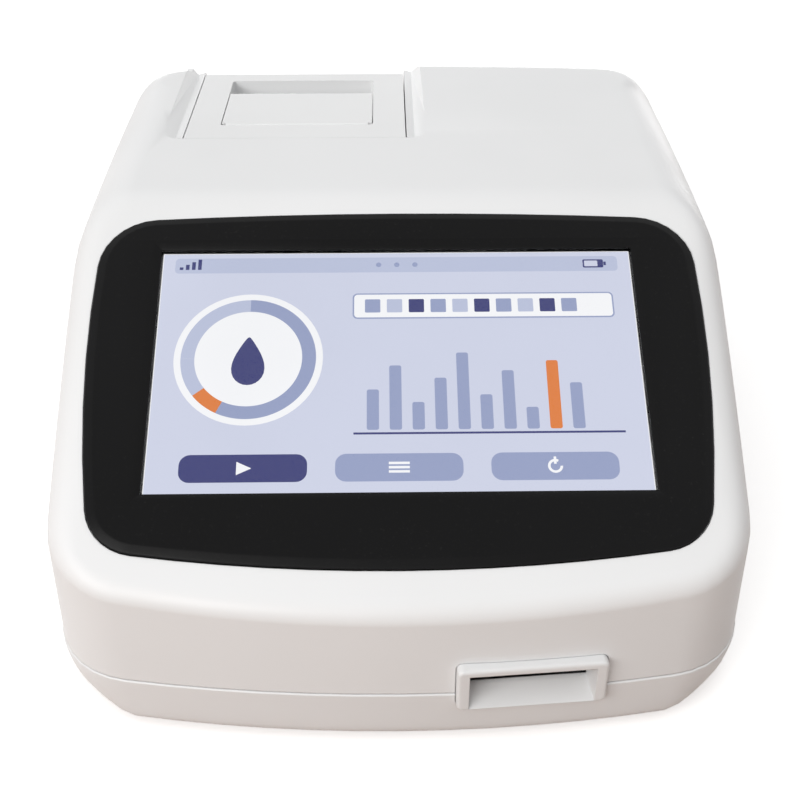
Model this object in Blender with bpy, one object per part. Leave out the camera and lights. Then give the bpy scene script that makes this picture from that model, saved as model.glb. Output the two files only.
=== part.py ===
"""A desktop urine test strip analyzer: touch screen, motor-driven strip tray, receipt printer.

Metres, +Z up. The front faces -Y and the origin is on the table, under the middle of the object.
"""

import math

import bmesh
import bpy
from mathutils import Matrix, Vector

# Whole body
OVERALL_DEPTH = 0.2645
TOP_HEIGHT = 0.1220
BODY_WIDTH = 0.2240
FOOT_DROP = 0.0014
WALL = 0.0025
CLEARANCE = 0.0003
FIT_GAP = 0.0005
OVERRUN = 0.0040
UPPER_DRAFT = math.radians(1.9)
LOWER_DRAFT = math.radians(1.5)

# Plan outline: three shallow bows joined by round corners
FRONT_BOW_RADIUS = 0.5200
SIDE_BOW_RADIUS = 2.8000
REAR_BOW_RADIUS = 0.9000
FRONT_CORNER_RADIUS = 0.0290
REAR_CORNER_RADIUS = 0.0280
WIDEST_FROM_FRONT = 0.1900

# Edges of the shells
SCREEN_TILT = math.radians(27.4)
FRONT_FACE_HEIGHT = 0.0535
TOP_SHOULDER_RADIUS = 0.0190
REAR_SHOULDER_RADIUS = 0.0070
SCREEN_SIDE_RADIUS = 0.0100
SCREEN_FRONT_RADIUS = 0.0040
CREST_SOFTNESS = 0.0016
BOTTOM_EDGE_RADIUS = 0.0055
BOTTOM_CORNER_TUCK = 0.0052
FLOOR_FILLET = 0.0020

# Parting line and the lip that closes it
PARTING_HEIGHT = 0.0225
PARTING_GAP = 0.0004
PARTING_PROUD = 0.00035
LIP_WALL = 0.0012
LIP_HEIGHT = 0.0030
LIP_ROOT = 0.0050

# Strip port in the front wall
PORT_X = 0.0390
PORT_PROUD = 0.0025
PORT_WIDTH = 0.0454
PORT_BOTTOM = 0.0175
PORT_HEIGHT = 0.0172
PORT_DEPTH = 0.0088
PORT_EDGE_RADIUS = 0.0010
PORT_CORNER = 0.0020
PORT_SEAM = 0.0002
PORT_MOUTH_WIDTH = 0.0382
PORT_MOUTH_FLOOR = 0.0007
PORT_TOP_BAR = 0.0024
FUNNEL_DEPTH = 0.0068
SLIT_WIDTH = 0.0366
SLIT_FLOOR = 0.0036
SLIT_TOP_BAR = 0.0040
PORT_FLANGE = 0.0025
PORT_FLANGE_THICKNESS = 0.0018

# Screen group, measured along and across the sloping face
LCD_WIDTH = 0.1542
LCD_HEIGHT = 0.0859
LCD_START = 0.0402
BEZEL_PROUD = 0.0016
BEZEL_SEAT_DEPTH = 0.0022
BEZEL_RIM_WIDTH = 0.0032
BEZEL_RIM_DROP = 0.0013
BEZEL_BEVEL_WIDTH = 0.0034
BEZEL_BEVEL_DEPTH = 0.0016
BEZEL_LIP = 0.0007
BEZEL_HALF_WIDTH = 0.0985
BEZEL_TOP_MARGIN = 0.0145
BEZEL_BOTTOM_MARGIN = 0.0249
BEZEL_WIDEST = 0.0600
BEZEL_TOP_BOW_RADIUS = 1.6000
BEZEL_SIDE_BOW_RADIUS = 0.4200
BEZEL_BOTTOM_BOW_RADIUS = 0.5850
BEZEL_TOP_CORNER = 0.0190
BEZEL_BOTTOM_CORNER = 0.0170
SEAT_PLATE_MARGIN = 0.0020
SEAT_PLATE_THICKNESS = 0.0042
SCREEN_HOLE_MARGIN = 0.0080
GLASS_MARGIN = 0.0050
GLASS_THICKNESS = 0.0007
MODULE_MARGIN = 0.0054
MODULE_THICKNESS = 0.0050
BRACKET_THICKNESS = 0.0012
BRACKET_WIDTH = 0.1880
BRACKET_HEIGHT = 0.0760
BRACKET_STRIP_WIDTH = 0.0260
BRACKET_SCREW_INSET = 0.0045
BRACKET_BOSS_RADIUS = 0.0032
SMALL_SCREW_RADIUS = 0.0012
SMALL_SCREW_LENGTH = 0.0050
SMALL_HEAD_RADIUS = 0.0025
SMALL_HEAD_HEIGHT = 0.0016

# Printer bay in the rear left of the top, measured back and up from the lid's front edge
LID_CENTRE_X = -0.0373
LID_WIDTH = 0.0830
LID_FRONT_Y = 0.0500
LID_SIDE_GAP = 0.0004
CHANNEL_FRONT_DEPTH = 0.0008
CHANNEL_REAR_DEPTH = 0.0034
CHANNEL_LENGTH = 0.0780
CHANNEL_FLOOR_MARGIN = 0.0034
CHANNEL_SLOPE_WIDTH = 0.0034
CHANNEL_CORNER = 0.0035
CHANNEL_HEADROOM = 0.0010
CHANNEL_DIP = 0.0010
CHANNEL_RUNOUT = 0.0080
BACKING_REAR_GAP = 0.0058
COLLAR_WALL = 0.0022
COLLAR_DEPTH = 0.0150
LID_THICKNESS = 0.0025
LID_SKIRT_DEPTH = 0.0070
LID_SKIRT_WALL = 0.0018
LID_SKIRT_START = 0.0040
HINGE_FROM_FRONT = 0.0680
HINGE_DROP = 0.0066
KNUCKLE_RADIUS = 0.0063
HINGE_PIN_RADIUS = 0.0015
LID_TAIL = 0.0058
NOTCH_BELOW_AXIS = 0.0076
WINDOW_FRONT = 0.0152
WINDOW_WIDTH = 0.0584
WINDOW_LENGTH = 0.0500
WINDOW_CORNER = 0.0015
WELL_DEPTH = 0.0090
WELL_WALL = 0.0015
PADDLE_LENGTH = 0.0345
PADDLE_THICKNESS = 0.0022
PADDLE_GAP = 0.0004
PADDLE_BARREL_RADIUS = 0.0018
PADDLE_PIN_RADIUS = 0.0007
LID_EDGE_RADIUS = 0.0006

# Printer mechanism
PLATEN_FROM_FRONT = 0.0095
PLATEN_DROP = 0.0120
PLATEN_RADIUS = 0.0041
PLATEN_LENGTH = 0.0580
PLATEN_SHAFT_RADIUS = 0.0015
EAR_THICKNESS = 0.0020
EAR_RADIUS = 0.0036
PLATEN_GEAR_TEETH = 20
PRINTER_GEAR_TEETH = 14
PRINTER_MODULE = 0.0006
PRINTER_GEAR_WIDTH = 0.0030
PRINTER_GEAR_LEAN = math.radians(20.0)
FRAME_WALL = 0.0015
FRAME_LENGTH = 0.0180
FRAME_TOP_DROP = 0.0112
FRAME_BOTTOM_DROP = 0.0340
NOTCH_GAP = 0.0008
PRINT_HEAD_THICKNESS = 0.0026
PRINT_HEAD_HEIGHT = 0.0120
PRINT_HEAD_GAP = 0.0007
TEAR_BAR_THICKNESS = 0.0006
TEAR_BAR_HEIGHT = 0.0045
TEAR_BAR_TEETH = 28
TEAR_TOOTH = 0.0008
PRINTER_MOTOR_RADIUS = 0.0055
PRINTER_MOTOR_LENGTH = 0.0160
ROLL_RADIUS = 0.0190
ROLL_WIDTH = 0.0570
ROLL_CORE_RADIUS = 0.0065
ROLL_FROM_FRONT = 0.0420
ROLL_SIDE_GAP = 0.0010
BUCKET_WALL = 0.0018
BUCKET_TANG = 0.0020

# Strip tray and its drive
TRAY_X = 0.0394
TRAY_WIDTH = 0.0260
TRAY_THICKNESS = 0.0060
TRAY_BOTTOM = 0.0236
TRAY_LENGTH = 0.1180
TRAY_SETBACK = 0.0130
TRAY_NOSE_RADIUS = 0.0010
STRIP_CHANNEL_WIDTH = 0.0066
STRIP_CHANNEL_DEPTH = 0.0022
STRIP_CHANNEL_START = 0.0060
STRIP_CHANNEL_LENGTH = 0.0950
FINGER_NOTCH_LENGTH = 0.0120
FINGER_NOTCH_WIDTH = 0.0160
FINGER_NOTCH_DEPTH = 0.0034
TILE_LENGTH = 0.0080
TILE_WIDTH = 0.0160
TILE_DEPTH = 0.0016
RACK_HEIGHT = 0.0040
RACK_BACK = 0.0012
RACK_MODULE = 0.0008
PINION_TEETH = 15
PINION_FROM_FRONT = 0.0255
PINION_HEIGHT = 0.0034
GEAR_BACKLASH = 0.0003
GUIDE_FRONT_GAP = 0.0019
GUIDE_LENGTH = 0.1316
GUIDE_FLOOR = 0.0190
GUIDE_PLATE = 0.0020
GUIDE_WALL = 0.0022
GUIDE_SIDE_GAP = 0.0004
GUIDE_RIB_WIDTH = 0.0020
GUIDE_GIB_THICKNESS = 0.0020
GUIDE_GIB_REACH = 0.0016
GUIDE_POST_RADIUS = 0.0035
GUIDE_POST_INSET_X = 0.0030
GUIDE_POST_INSET_Y = 0.0065
TRAY_MOTOR_RADIUS = 0.0115
TRAY_MOTOR_LENGTH = 0.0110
DRIVE_SHAFT_RADIUS = 0.0010
DRIVE_SHAFT_SINK = 0.0040
OPTIC_FROM_FRONT = 0.0420
OPTIC_LENGTH = 0.0320
OPTIC_HEIGHT = 0.0160
OPTIC_WALL = 0.0018
OPTIC_BORE_RADIUS = 0.0060
LENS_THICKNESS = 0.0024
PCB_THICKNESS = 0.0016
SENSOR_BLOCK_SIZE = 0.0080

# Main board, rear plate and sockets
BOARD_WIDTH = 0.1180
BOARD_DEPTH = 0.0840
BOARD_HEIGHT = 0.0120
BOARD_BOSS_RADIUS = 0.0035
BOARD_BOSS_INSET = 0.0080
REAR_PLATE_WIDTH = 0.1240
REAR_PLATE_HEIGHT = 0.0240
REAR_PLATE_BOTTOM = 0.0090
REAR_PLATE_THICKNESS = 0.0016
REAR_PLATE_INSET = 0.0010
REAR_PLATE_FRAME = 0.0020
USB_X = 0.0030
USB_SPACING = 0.0190
USB_COUNT = 2
USB_WIDTH = 0.0132
USB_HEIGHT = 0.0062
USB_DEPTH = 0.0140
USB_WALL = 0.0006
USB_TONGUE = 0.0014
SERIAL_X = -0.0235
SERIAL_WIDTH = 0.0308
SERIAL_HEIGHT = 0.0125
SERIAL_DEPTH = 0.0100
SERIAL_SHELL_WIDTH = 0.0170
SERIAL_SHELL_HEIGHT = 0.0085
SERIAL_SHELL_DEPTH = 0.0032
SERIAL_SHELL_WALL = 0.0009
SERIAL_CORE_GAP = 0.0012
POWER_X = 0.0470
POWER_WIDTH = 0.0090
POWER_HEIGHT = 0.0110
POWER_DEPTH = 0.0140
POWER_BORE_RADIUS = 0.0031
POWER_BORE_DEPTH = 0.0090
POWER_PIN_RADIUS = 0.0010
SWITCH_X = -0.0490
SWITCH_HEIGHT_MID = 0.0210
SWITCH_WIDTH = 0.0190
SWITCH_HEIGHT = 0.0130
SWITCH_DEPTH = 0.0120
SWITCH_FLANGE = 0.0010
SWITCH_FLANGE_THICKNESS = 0.0010
SWITCH_WALL = 0.0016
SWITCH_POCKET_DEPTH = 0.0090
ROCKER_GAP = 0.0005
ROCKER_TILT = math.radians(8.0)
ROCKER_PIVOT_DEPTH = 0.0025
BUZZER_RADIUS = 0.0060
BUZZER_HEIGHT = 0.0080
CHIP_SIZE = 0.0160
CHIP_HEIGHT = 0.0020
RIBBON_WIDTH = 0.0240
RIBBON_THICKNESS = 0.0006
RIBBON_BEND = 0.0060

# Feet and case screws
FOOT_RADIUS = 0.0070
FOOT_RECESS = 0.0010
FOOT_INSET_X = 0.0190
FOOT_INSET_Y = 0.0460
CASE_SCREW_RADIUS = 0.0015
CASE_SCREW_LENGTH = 0.0190
CASE_HEAD_RADIUS = 0.0030
CASE_HEAD_HEIGHT = 0.0022
CASE_SEAT_HEIGHT = 0.0143
CASE_BOSS_RADIUS = 0.0045
CASE_BOSS_COVER = 0.0006
CASE_BOSS_INSET_X = 0.0175
CASE_BOSS_INSET_Y = 0.0270

# Counts and shares
FRONT_STEPS = 6
CORNER_STEPS = 7
REAR_STEPS = 4
SHOULDER_STEPS = 8
BOTTOM_STEPS = 4
LOWER_WALL_STEPS = 4
SIDE_STATION_SHARES = (
    0.0, 0.08, 0.16, 0.24, 0.30, 0.345, 0.38, 0.41, 0.44, 0.47, 0.50, 0.53, 0.56, 0.60, 0.67, 0.78, 0.89
)
BEZEL_SIDE_SHARES = (0.0, 0.2, 0.4, 0.6, 0.8)
RIM_PROFILE_SHARES = ((0.0, 0.0), (0.05, 0.26), (0.17, 0.42), (0.82, 0.92), (0.92, 0.98), (1.0, 1.0))
TOOTH_TIP_SHARE = 0.85
TOOTH_ROOT_SHARE = 1.20
TOOTH_FLANK_SHARES = ((0, 1.45), (1, 0.55), (1, -0.55), (0, -1.45))
BUCKET_STEPS = 12
EDGE_STEPS = 3
CHANNEL_CORNER_STEPS = 4
CORNERS = 4
DRAFT_ROUNDS = 6
SHARP_ANGLE = math.radians(32.0)
BACKING_TOP_SHARE = 0.75
ROUND_SEGMENTS = 24
SMALL_SEGMENTS = 12
HALF_PI = math.pi / 2

# Places worked out from the sizes above
FRONT_Y = PORT_PROUD - OVERALL_DEPTH / 2
REAR_Y = OVERALL_DEPTH / 2
LOWER_FLOOR = FOOT_DROP + WALL
SCREEN_FRAME = Matrix.Translation((0, FRONT_Y, FRONT_FACE_HEIGHT)) @ Matrix.Rotation(SCREEN_TILT, 4, "X")
CHANNEL_TILT = -math.atan((CHANNEL_REAR_DEPTH - CHANNEL_FRONT_DEPTH) / CHANNEL_LENGTH)
LID_FRAME = (
    Matrix.Translation((LID_CENTRE_X, LID_FRONT_Y, TOP_HEIGHT - CHANNEL_FRONT_DEPTH))
    @ Matrix.Rotation(CHANNEL_TILT, 4, "X")
)
PORT_TURN = math.asin(PORT_X / FRONT_BOW_RADIUS)
PORT_FRAME = (
    Matrix.Translation((PORT_X, FRONT_Y + FRONT_BOW_RADIUS * (1 - math.cos(PORT_TURN)), PORT_BOTTOM))
    @ Matrix.Rotation(PORT_TURN, 4, "Z")
)
ALONG_X = Matrix.Rotation(HALF_PI, 4, "Y")


def clear_scene():
    for obj in list(bpy.data.objects):
        bpy.data.objects.remove(obj, do_unlink=True)


def new_collection(name):
    collection = bpy.data.collections.new(name)
    bpy.context.scene.collection.children.link(collection)
    return collection


def new_material(name, colour, roughness, metallic=0.0):
    material = bpy.data.materials.new(name)
    material.use_nodes = True
    shader = material.node_tree.nodes["Principled BSDF"]
    shader.inputs["Base Color"].default_value = (*colour, 1.0)
    shader.inputs["Roughness"].default_value = roughness
    shader.inputs["Metallic"].default_value = metallic
    return material


clear_scene()
PARTS = new_collection("urine_strip_analyzer")
CUTTERS = new_collection("cutters")
WHITE_PLASTIC = new_material("white_plastic", (0.82, 0.83, 0.84), 0.45)
BLACK_PLASTIC = new_material("black_plastic", (0.012, 0.012, 0.014), 0.35)
GREY_PLASTIC = new_material("grey_plastic", (0.32, 0.33, 0.35), 0.5)
ACETAL = new_material("acetal", (0.78, 0.76, 0.70), 0.4)
GLASS = new_material("glass", (0.60, 0.62, 0.80), 0.08)
STEEL = new_material("steel", (0.55, 0.56, 0.58), 0.35, 1.0)
BOARD_GREEN = new_material("board_green", (0.02, 0.18, 0.07), 0.5)
RUBBER = new_material("rubber", (0.03, 0.03, 0.03), 0.8)
PAPER = new_material("paper", (0.88, 0.88, 0.86), 0.8)


# Making and combining shapes

def put(name, shape, material=None, frame=None):
    """Turns a bmesh into a part when it has a material, otherwise into a hidden shape to cut or join with."""
    if frame is not None:
        bmesh.ops.transform(shape, matrix=frame, verts=shape.verts)
    bmesh.ops.recalc_face_normals(shape, faces=shape.faces)
    mesh = bpy.data.meshes.new(name)
    shape.to_mesh(mesh)
    shape.free()
    mesh.shade_smooth()
    mesh.set_sharp_from_angle(angle=SHARP_ANGLE)
    obj = bpy.data.objects.new(name, mesh)
    if material is None:
        CUTTERS.objects.link(obj)
        obj.hide_render = True
        obj.display_type = "WIRE"
    else:
        finish = material.copy()
        finish.name = name + "_finish"
        mesh.materials.append(finish)
        PARTS.objects.link(obj)
    return obj


def block(name, low, high, material=None, frame=None, radius=0.0, edges="all", corner=0.0):
    """A box between two corners. Its rounded edges are all, the upright ones, or those of its front
    or ends. A corner rounds the edges that run from front to back first."""
    shape = bmesh.new()
    bmesh.ops.create_cube(shape, size=1.0)
    low, high = Vector(low), Vector(high)
    bmesh.ops.scale(shape, vec=high - low, verts=shape.verts)
    bmesh.ops.translate(shape, vec=(low + high) / 2, verts=shape.verts)
    if corner:
        round_edges(shape, "along", low, corner)
    if radius:
        round_edges(shape, edges, low, radius)
    return put(name, shape, material, frame)


def round_edges(shape, wanted, low, radius):
    chosen = [edge for edge in shape.edges if edge_wanted(edge, wanted, low)]
    bmesh.ops.bevel(shape, geom=chosen, offset=radius, segments=EDGE_STEPS, profile=0.5, affect="EDGES")


def edge_wanted(edge, wanted, low):
    first, second = (vert.co for vert in edge.verts)
    if wanted == "upright":
        return abs(first.z - second.z) > abs(first.x - second.x) + abs(first.y - second.y)
    if wanted == "front":
        return max(first.y, second.y) < low.y + CLEARANCE / 2
    if wanted == "ends":
        return abs(first.y - second.y) < CLEARANCE / 2
    if wanted == "along":
        return abs(first.y - second.y) > CLEARANCE
    return True


def rod(name, radius, start, end, material=None, frame=None, segments=ROUND_SEGMENTS):
    """A cylinder from one point to another."""
    start, end = Vector(start), Vector(end)
    axis = end - start
    shape = bmesh.new()
    bmesh.ops.create_cone(
        shape, cap_ends=True, segments=segments, radius1=radius, radius2=radius, depth=axis.length
    )
    turn = Vector((0, 0, 1)).rotation_difference(axis).to_matrix().to_4x4()
    bmesh.ops.transform(shape, matrix=Matrix.Translation((start + end) / 2) @ turn, verts=shape.verts)
    return put(name, shape, material, frame)


def plate(name, outline, thickness, material=None, frame=None, bottom=0.0):
    """A flat outline in the frame's XY plane, extruded up from the bottom by its thickness."""
    curve = bpy.data.curves.new(name, "CURVE")
    curve.dimensions = "2D"
    curve.fill_mode = "BOTH"
    curve.extrude = thickness / 2
    spline = curve.splines.new("POLY")
    spline.points.add(len(outline) - 1)
    for point, (x, y) in zip(spline.points, outline):
        point.co = (x, y, 0, 1)
    spline.use_cyclic_u = True
    guide = bpy.data.objects.new(name + "_outline", curve)
    CUTTERS.objects.link(guide)
    guide.location.z = bottom + thickness / 2
    bpy.context.view_layer.update()
    graph = bpy.context.evaluated_depsgraph_get()
    flat = bpy.data.meshes.new_from_object(guide.evaluated_get(graph))
    shape = bmesh.new()
    shape.from_mesh(flat)
    bmesh.ops.transform(shape, matrix=guide.matrix_world, verts=shape.verts)
    bmesh.ops.remove_doubles(shape, verts=shape.verts, dist=CLEARANCE / 100)
    bpy.data.objects.remove(guide, do_unlink=True)
    bpy.data.meshes.remove(flat)
    return put(name, shape, material, frame)


def frustum(name, near, far, start, depth, frame=None):
    """A hollow between two rectangles (x low, x high, z low, z high), from near to far along +Y."""
    shape = bmesh.new()
    bmesh.ops.create_cube(shape, size=1.0)
    for vert in shape.verts:
        at_far = vert.co.y > 0
        x_low, x_high, z_low, z_high = far if at_far else near
        vert.co = (
            x_high if vert.co.x > 0 else x_low,
            start + depth if at_far else start,
            z_high if vert.co.z > 0 else z_low,
        )
    return put(name, shape, None, frame)


def boolean(target, tool, operation):
    modifier = target.modifiers.new(tool.name, "BOOLEAN")
    modifier.object = tool
    modifier.operation = operation
    modifier.solver = "EXACT"


def cut(target, *tools):
    for tool in tools:
        boolean(target, tool, "DIFFERENCE")
    return target


def join(target, *tools):
    for tool in tools:
        boolean(target, tool, "UNION")
    return target


def pivot(name, place, *pieces):
    """An empty on a joint's axis that carries its pieces."""
    empty = bpy.data.objects.new(name, None)
    PARTS.objects.link(empty)
    empty.matrix_world = Matrix.Translation(place)
    for piece in pieces:
        piece.parent = empty
        piece.matrix_parent_inverse = empty.matrix_world.inverted()


def gear_radii(teeth, module):
    pitch = teeth * module / 2
    return pitch, pitch + module * TOOTH_TIP_SHARE, pitch - module * TOOTH_ROOT_SHARE


def gear_outline(teeth, module, turn=0.0):
    """Straight-flanked teeth round a pitch circle; turn is where the first tooth points."""
    pitch, tip, root = gear_radii(teeth, module)
    slack = GEAR_BACKLASH / (2 * pitch)
    points = []
    for index in range(teeth):
        middle = turn + index * math.tau / teeth
        for at_tip, spread in TOOTH_FLANK_SHARES:
            radius = tip if at_tip else root
            side = 1 if spread > 0 else -1
            angle = middle - spread * HALF_PI / teeth + side * slack
            points.append((radius * math.cos(angle), radius * math.sin(angle)))
    return points


# Outlines made of bows and round corners

def rolled_corner(circle_a, circle_b, radius, upper):
    """Centre of a corner of that radius that touches the inside of both circles, on the +X side."""
    (centre_a, radius_a), (centre_b, radius_b) = circle_a, circle_b
    reach_a, reach_b = radius_a - radius, radius_b - radius
    between = centre_b - centre_a
    along = (reach_a**2 - reach_b**2 + between.length_squared) / (2 * between.length)
    across = math.sqrt(reach_a**2 - along**2)
    unit = between.normalized()
    side = Vector((-unit.y, unit.x))
    options = sorted((centre_a + unit * along + side * across * sign for sign in (1, -1)), key=lambda p: p.y)
    return options[1] if upper else options[0]


def even_shares(steps):
    return [index / steps for index in range(steps)]


def bowed_stations(front, side, rear, front_corner, rear_corner, side_shares):
    """Half an outline from mid front to mid rear, as (centre, radius, normal angle) stations."""
    centre_a = rolled_corner(front, side, front_corner, False)
    centre_b = rolled_corner(rear, side, rear_corner, True)

    def heading(point, centre):
        return math.atan2(point.y - centre.y, point.x - centre.x)

    turns = (
        -HALF_PI, heading(centre_a, front[0]), heading(centre_a, side[0]),
        heading(centre_b, side[0]), heading(centre_b, rear[0]), HALF_PI,
    )
    runs = (
        (front, even_shares(FRONT_STEPS)),
        ((centre_a, front_corner), even_shares(CORNER_STEPS)),
        (side, side_shares),
        ((centre_b, rear_corner), even_shares(CORNER_STEPS)),
        (rear, [*even_shares(REAR_STEPS), 1.0]),
    )
    stations = []
    for ((centre, radius), shares), start, end in zip(runs, turns, turns[1:]):
        stations += [(centre, radius, start + (end - start) * share) for share in shares]
    return stations


def station_point(station, inset):
    centre, radius, angle = station
    on_axis = abs(math.cos(angle)) < math.ulp(1.0)
    reach = radius - inset
    return (0.0 if on_axis else centre.x + reach * math.cos(angle)), centre.y + reach * math.sin(angle)


def tucked_ring(stations, inset, height, tuck):
    """A ring whose corners draw in by the tuck, on top of the inset all round."""
    half = []
    for station in stations:
        corner = math.sin(2 * station[2]) ** 2
        half.append((*station_point(station, inset + tuck * corner), height))
    return full_ring(half)


def full_ring(half):
    return [*half, *((-x, y, z) for x, y, z in reversed(half[1:-1]))]


def flat_ring(stations, inset, height):
    return full_ring([(*station_point(station, inset), height) for station in stations])


def loft(shape, rings):
    """Verts of each ring, with faces from each ring to the next."""
    rows = [[shape.verts.new(point) for point in ring] for ring in rings]
    for first, second in zip(rows, rows[1:]):
        for index in range(len(first)):
            after = (index + 1) % len(first)
            shape.faces.new((first[index], first[after], second[after], second[index]))
    return rows


def cap_across(shape, row):
    """Closes a ring with strips from its left to its right side."""
    last = len(row) // 2
    shape.faces.new((row[0], row[1], row[-1]))
    for index in range(1, last - 1):
        shape.faces.new((row[index], row[index + 1], row[-index - 1], row[-index]))
    shape.faces.new((row[last - 1], row[last], row[last + 1]))


def lofted(name, rings, material=None, frame=None):
    shape = bmesh.new()
    rows = loft(shape, rings)
    cap_across(shape, rows[0])
    cap_across(shape, rows[-1])
    return put(name, shape, material, frame)


BODY_STATIONS = bowed_stations(
    (Vector((0, FRONT_Y + FRONT_BOW_RADIUS)), FRONT_BOW_RADIUS),
    (Vector((BODY_WIDTH / 2 - SIDE_BOW_RADIUS, FRONT_Y + WIDEST_FROM_FRONT)), SIDE_BOW_RADIUS),
    (Vector((0, REAR_Y - REAR_BOW_RADIUS)), REAR_BOW_RADIUS),
    FRONT_CORNER_RADIUS, REAR_CORNER_RADIUS, SIDE_STATION_SHARES,
)
BEZEL_STATIONS = bowed_stations(
    (Vector((0, LCD_START - BEZEL_BOTTOM_MARGIN + BEZEL_BOTTOM_BOW_RADIUS)), BEZEL_BOTTOM_BOW_RADIUS),
    (Vector((BEZEL_HALF_WIDTH - BEZEL_SIDE_BOW_RADIUS, LCD_START + BEZEL_WIDEST)), BEZEL_SIDE_BOW_RADIUS),
    (Vector((0, LCD_START + LCD_HEIGHT + BEZEL_TOP_MARGIN - BEZEL_TOP_BOW_RADIUS)), BEZEL_TOP_BOW_RADIUS),
    BEZEL_BOTTOM_CORNER, BEZEL_TOP_CORNER, BEZEL_SIDE_SHARES,
)


# Upper and lower shells

def smooth_share(value):
    value = min(1.0, max(0.0, value))
    return value * value * (3 - 2 * value)


def edge_radii(angle):
    """Shoulder radii of the top and of the screen face, and the radius to sample, by direction."""
    toward_rear = smooth_share(math.sin(angle))
    toward_front = smooth_share(-math.sin(angle))
    top = TOP_SHOULDER_RADIUS + (REAR_SHOULDER_RADIUS - TOP_SHOULDER_RADIUS) * toward_rear
    screen = SCREEN_SIDE_RADIUS + (SCREEN_FRONT_RADIUS - SCREEN_SIDE_RADIUS) * toward_front
    return top, screen, top + (2 * screen - top) * toward_front


def shoulder_drop(inset, radius):
    return radius - math.sqrt(radius**2 - max(0.0, radius - inset) ** 2)


def screen_height(y):
    return FRONT_FACE_HEIGHT + (y - FRONT_Y) * math.tan(SCREEN_TILT)


def surface_height(y, angle, inset, skin):
    """Height of the shell's surface at that inset from its wall; skin is 0 outside and WALL inside."""
    top, screen, _ = edge_radii(angle)
    upper = TOP_HEIGHT - skin - shoulder_drop(inset, top - skin)
    lower = screen_height(y) - skin - shoulder_drop(inset, screen - skin)
    return (upper + lower - math.sqrt((upper - lower) ** 2 + CREST_SOFTNESS**2)) / 2


def shoulder_ring(share, skin):
    """A ring of the shell's surface: share 0 is the top of the wall, and 1 is past the round shoulder."""
    half = []
    for station in BODY_STATIONS:
        angle = station[2]
        inset = (edge_radii(angle)[2] - skin) * share
        drafted = 0.0
        for _ in range(DRAFT_ROUNDS):
            wall_top = surface_height(station_point(station, skin + drafted)[1], angle, 0.0, skin)
            drafted = (wall_top - PARTING_HEIGHT) * math.tan(UPPER_DRAFT)
        x, y = station_point(station, skin + drafted + inset)
        half.append((x, y, surface_height(y, angle, inset, skin)))
    return full_ring(half)


def shell_rings(skin):
    turns = [HALF_PI * index / SHOULDER_STEPS for index in range(SHOULDER_STEPS + 1)]
    rim = flat_ring(BODY_STATIONS, skin, PARTING_HEIGHT + PARTING_GAP / 2)
    return [rim, *(shoulder_ring(1 - math.cos(turn), skin) for turn in turns)]


def make_upper_housing():
    shell = lofted("upper_housing", [*reversed(shell_rings(WALL)), *shell_rings(0.0)], WHITE_PLASTIC)
    seat = lofted("seat_plate", [
        flat_ring(BEZEL_STATIONS, -SEAT_PLATE_MARGIN, -WALL / 2),
        flat_ring(BEZEL_STATIONS, -SEAT_PLATE_MARGIN, -WALL / 2 - SEAT_PLATE_THICKNESS),
    ], None, SCREEN_FRAME)
    join(shell, seat, *bracket_bosses(), channel_backing(), bay_collar(), *case_bosses_upper())
    recess = lofted("bezel_recess", [
        flat_ring(BEZEL_STATIONS, -CLEARANCE, -BEZEL_SEAT_DEPTH),
        flat_ring(BEZEL_STATIONS, -CLEARANCE, OVERRUN),
    ], None, SCREEN_FRAME)
    window = block(
        "screen_hole", (-screen_hole_half(), LCD_START - SCREEN_HOLE_MARGIN, -3 * OVERRUN),
        (screen_hole_half(), LCD_START + LCD_HEIGHT + SCREEN_HOLE_MARGIN, 0), None, SCREEN_FRAME,
    )
    cut(shell, recess, window, channel_cutter(), bay_cutter(), hinge_pin_cutter())
    cut(shell, *port_cutters("upper"), *rear_cutters("upper"))
    cut(shell, *(bracket_screw(index, CLEARANCE) for index in range(CORNERS)))
    cut(shell, *(case_screw(index, CLEARANCE) for index in range(CORNERS)))
    return shell


def fall(height):
    """How much of the corners' tuck is reached at a height: 0 at the parting line, 1 at the bottom."""
    top = PARTING_HEIGHT - PARTING_GAP / 2 - PARTING_PROUD
    return ((top - height) / (top - FOOT_DROP)) ** 2


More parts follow.
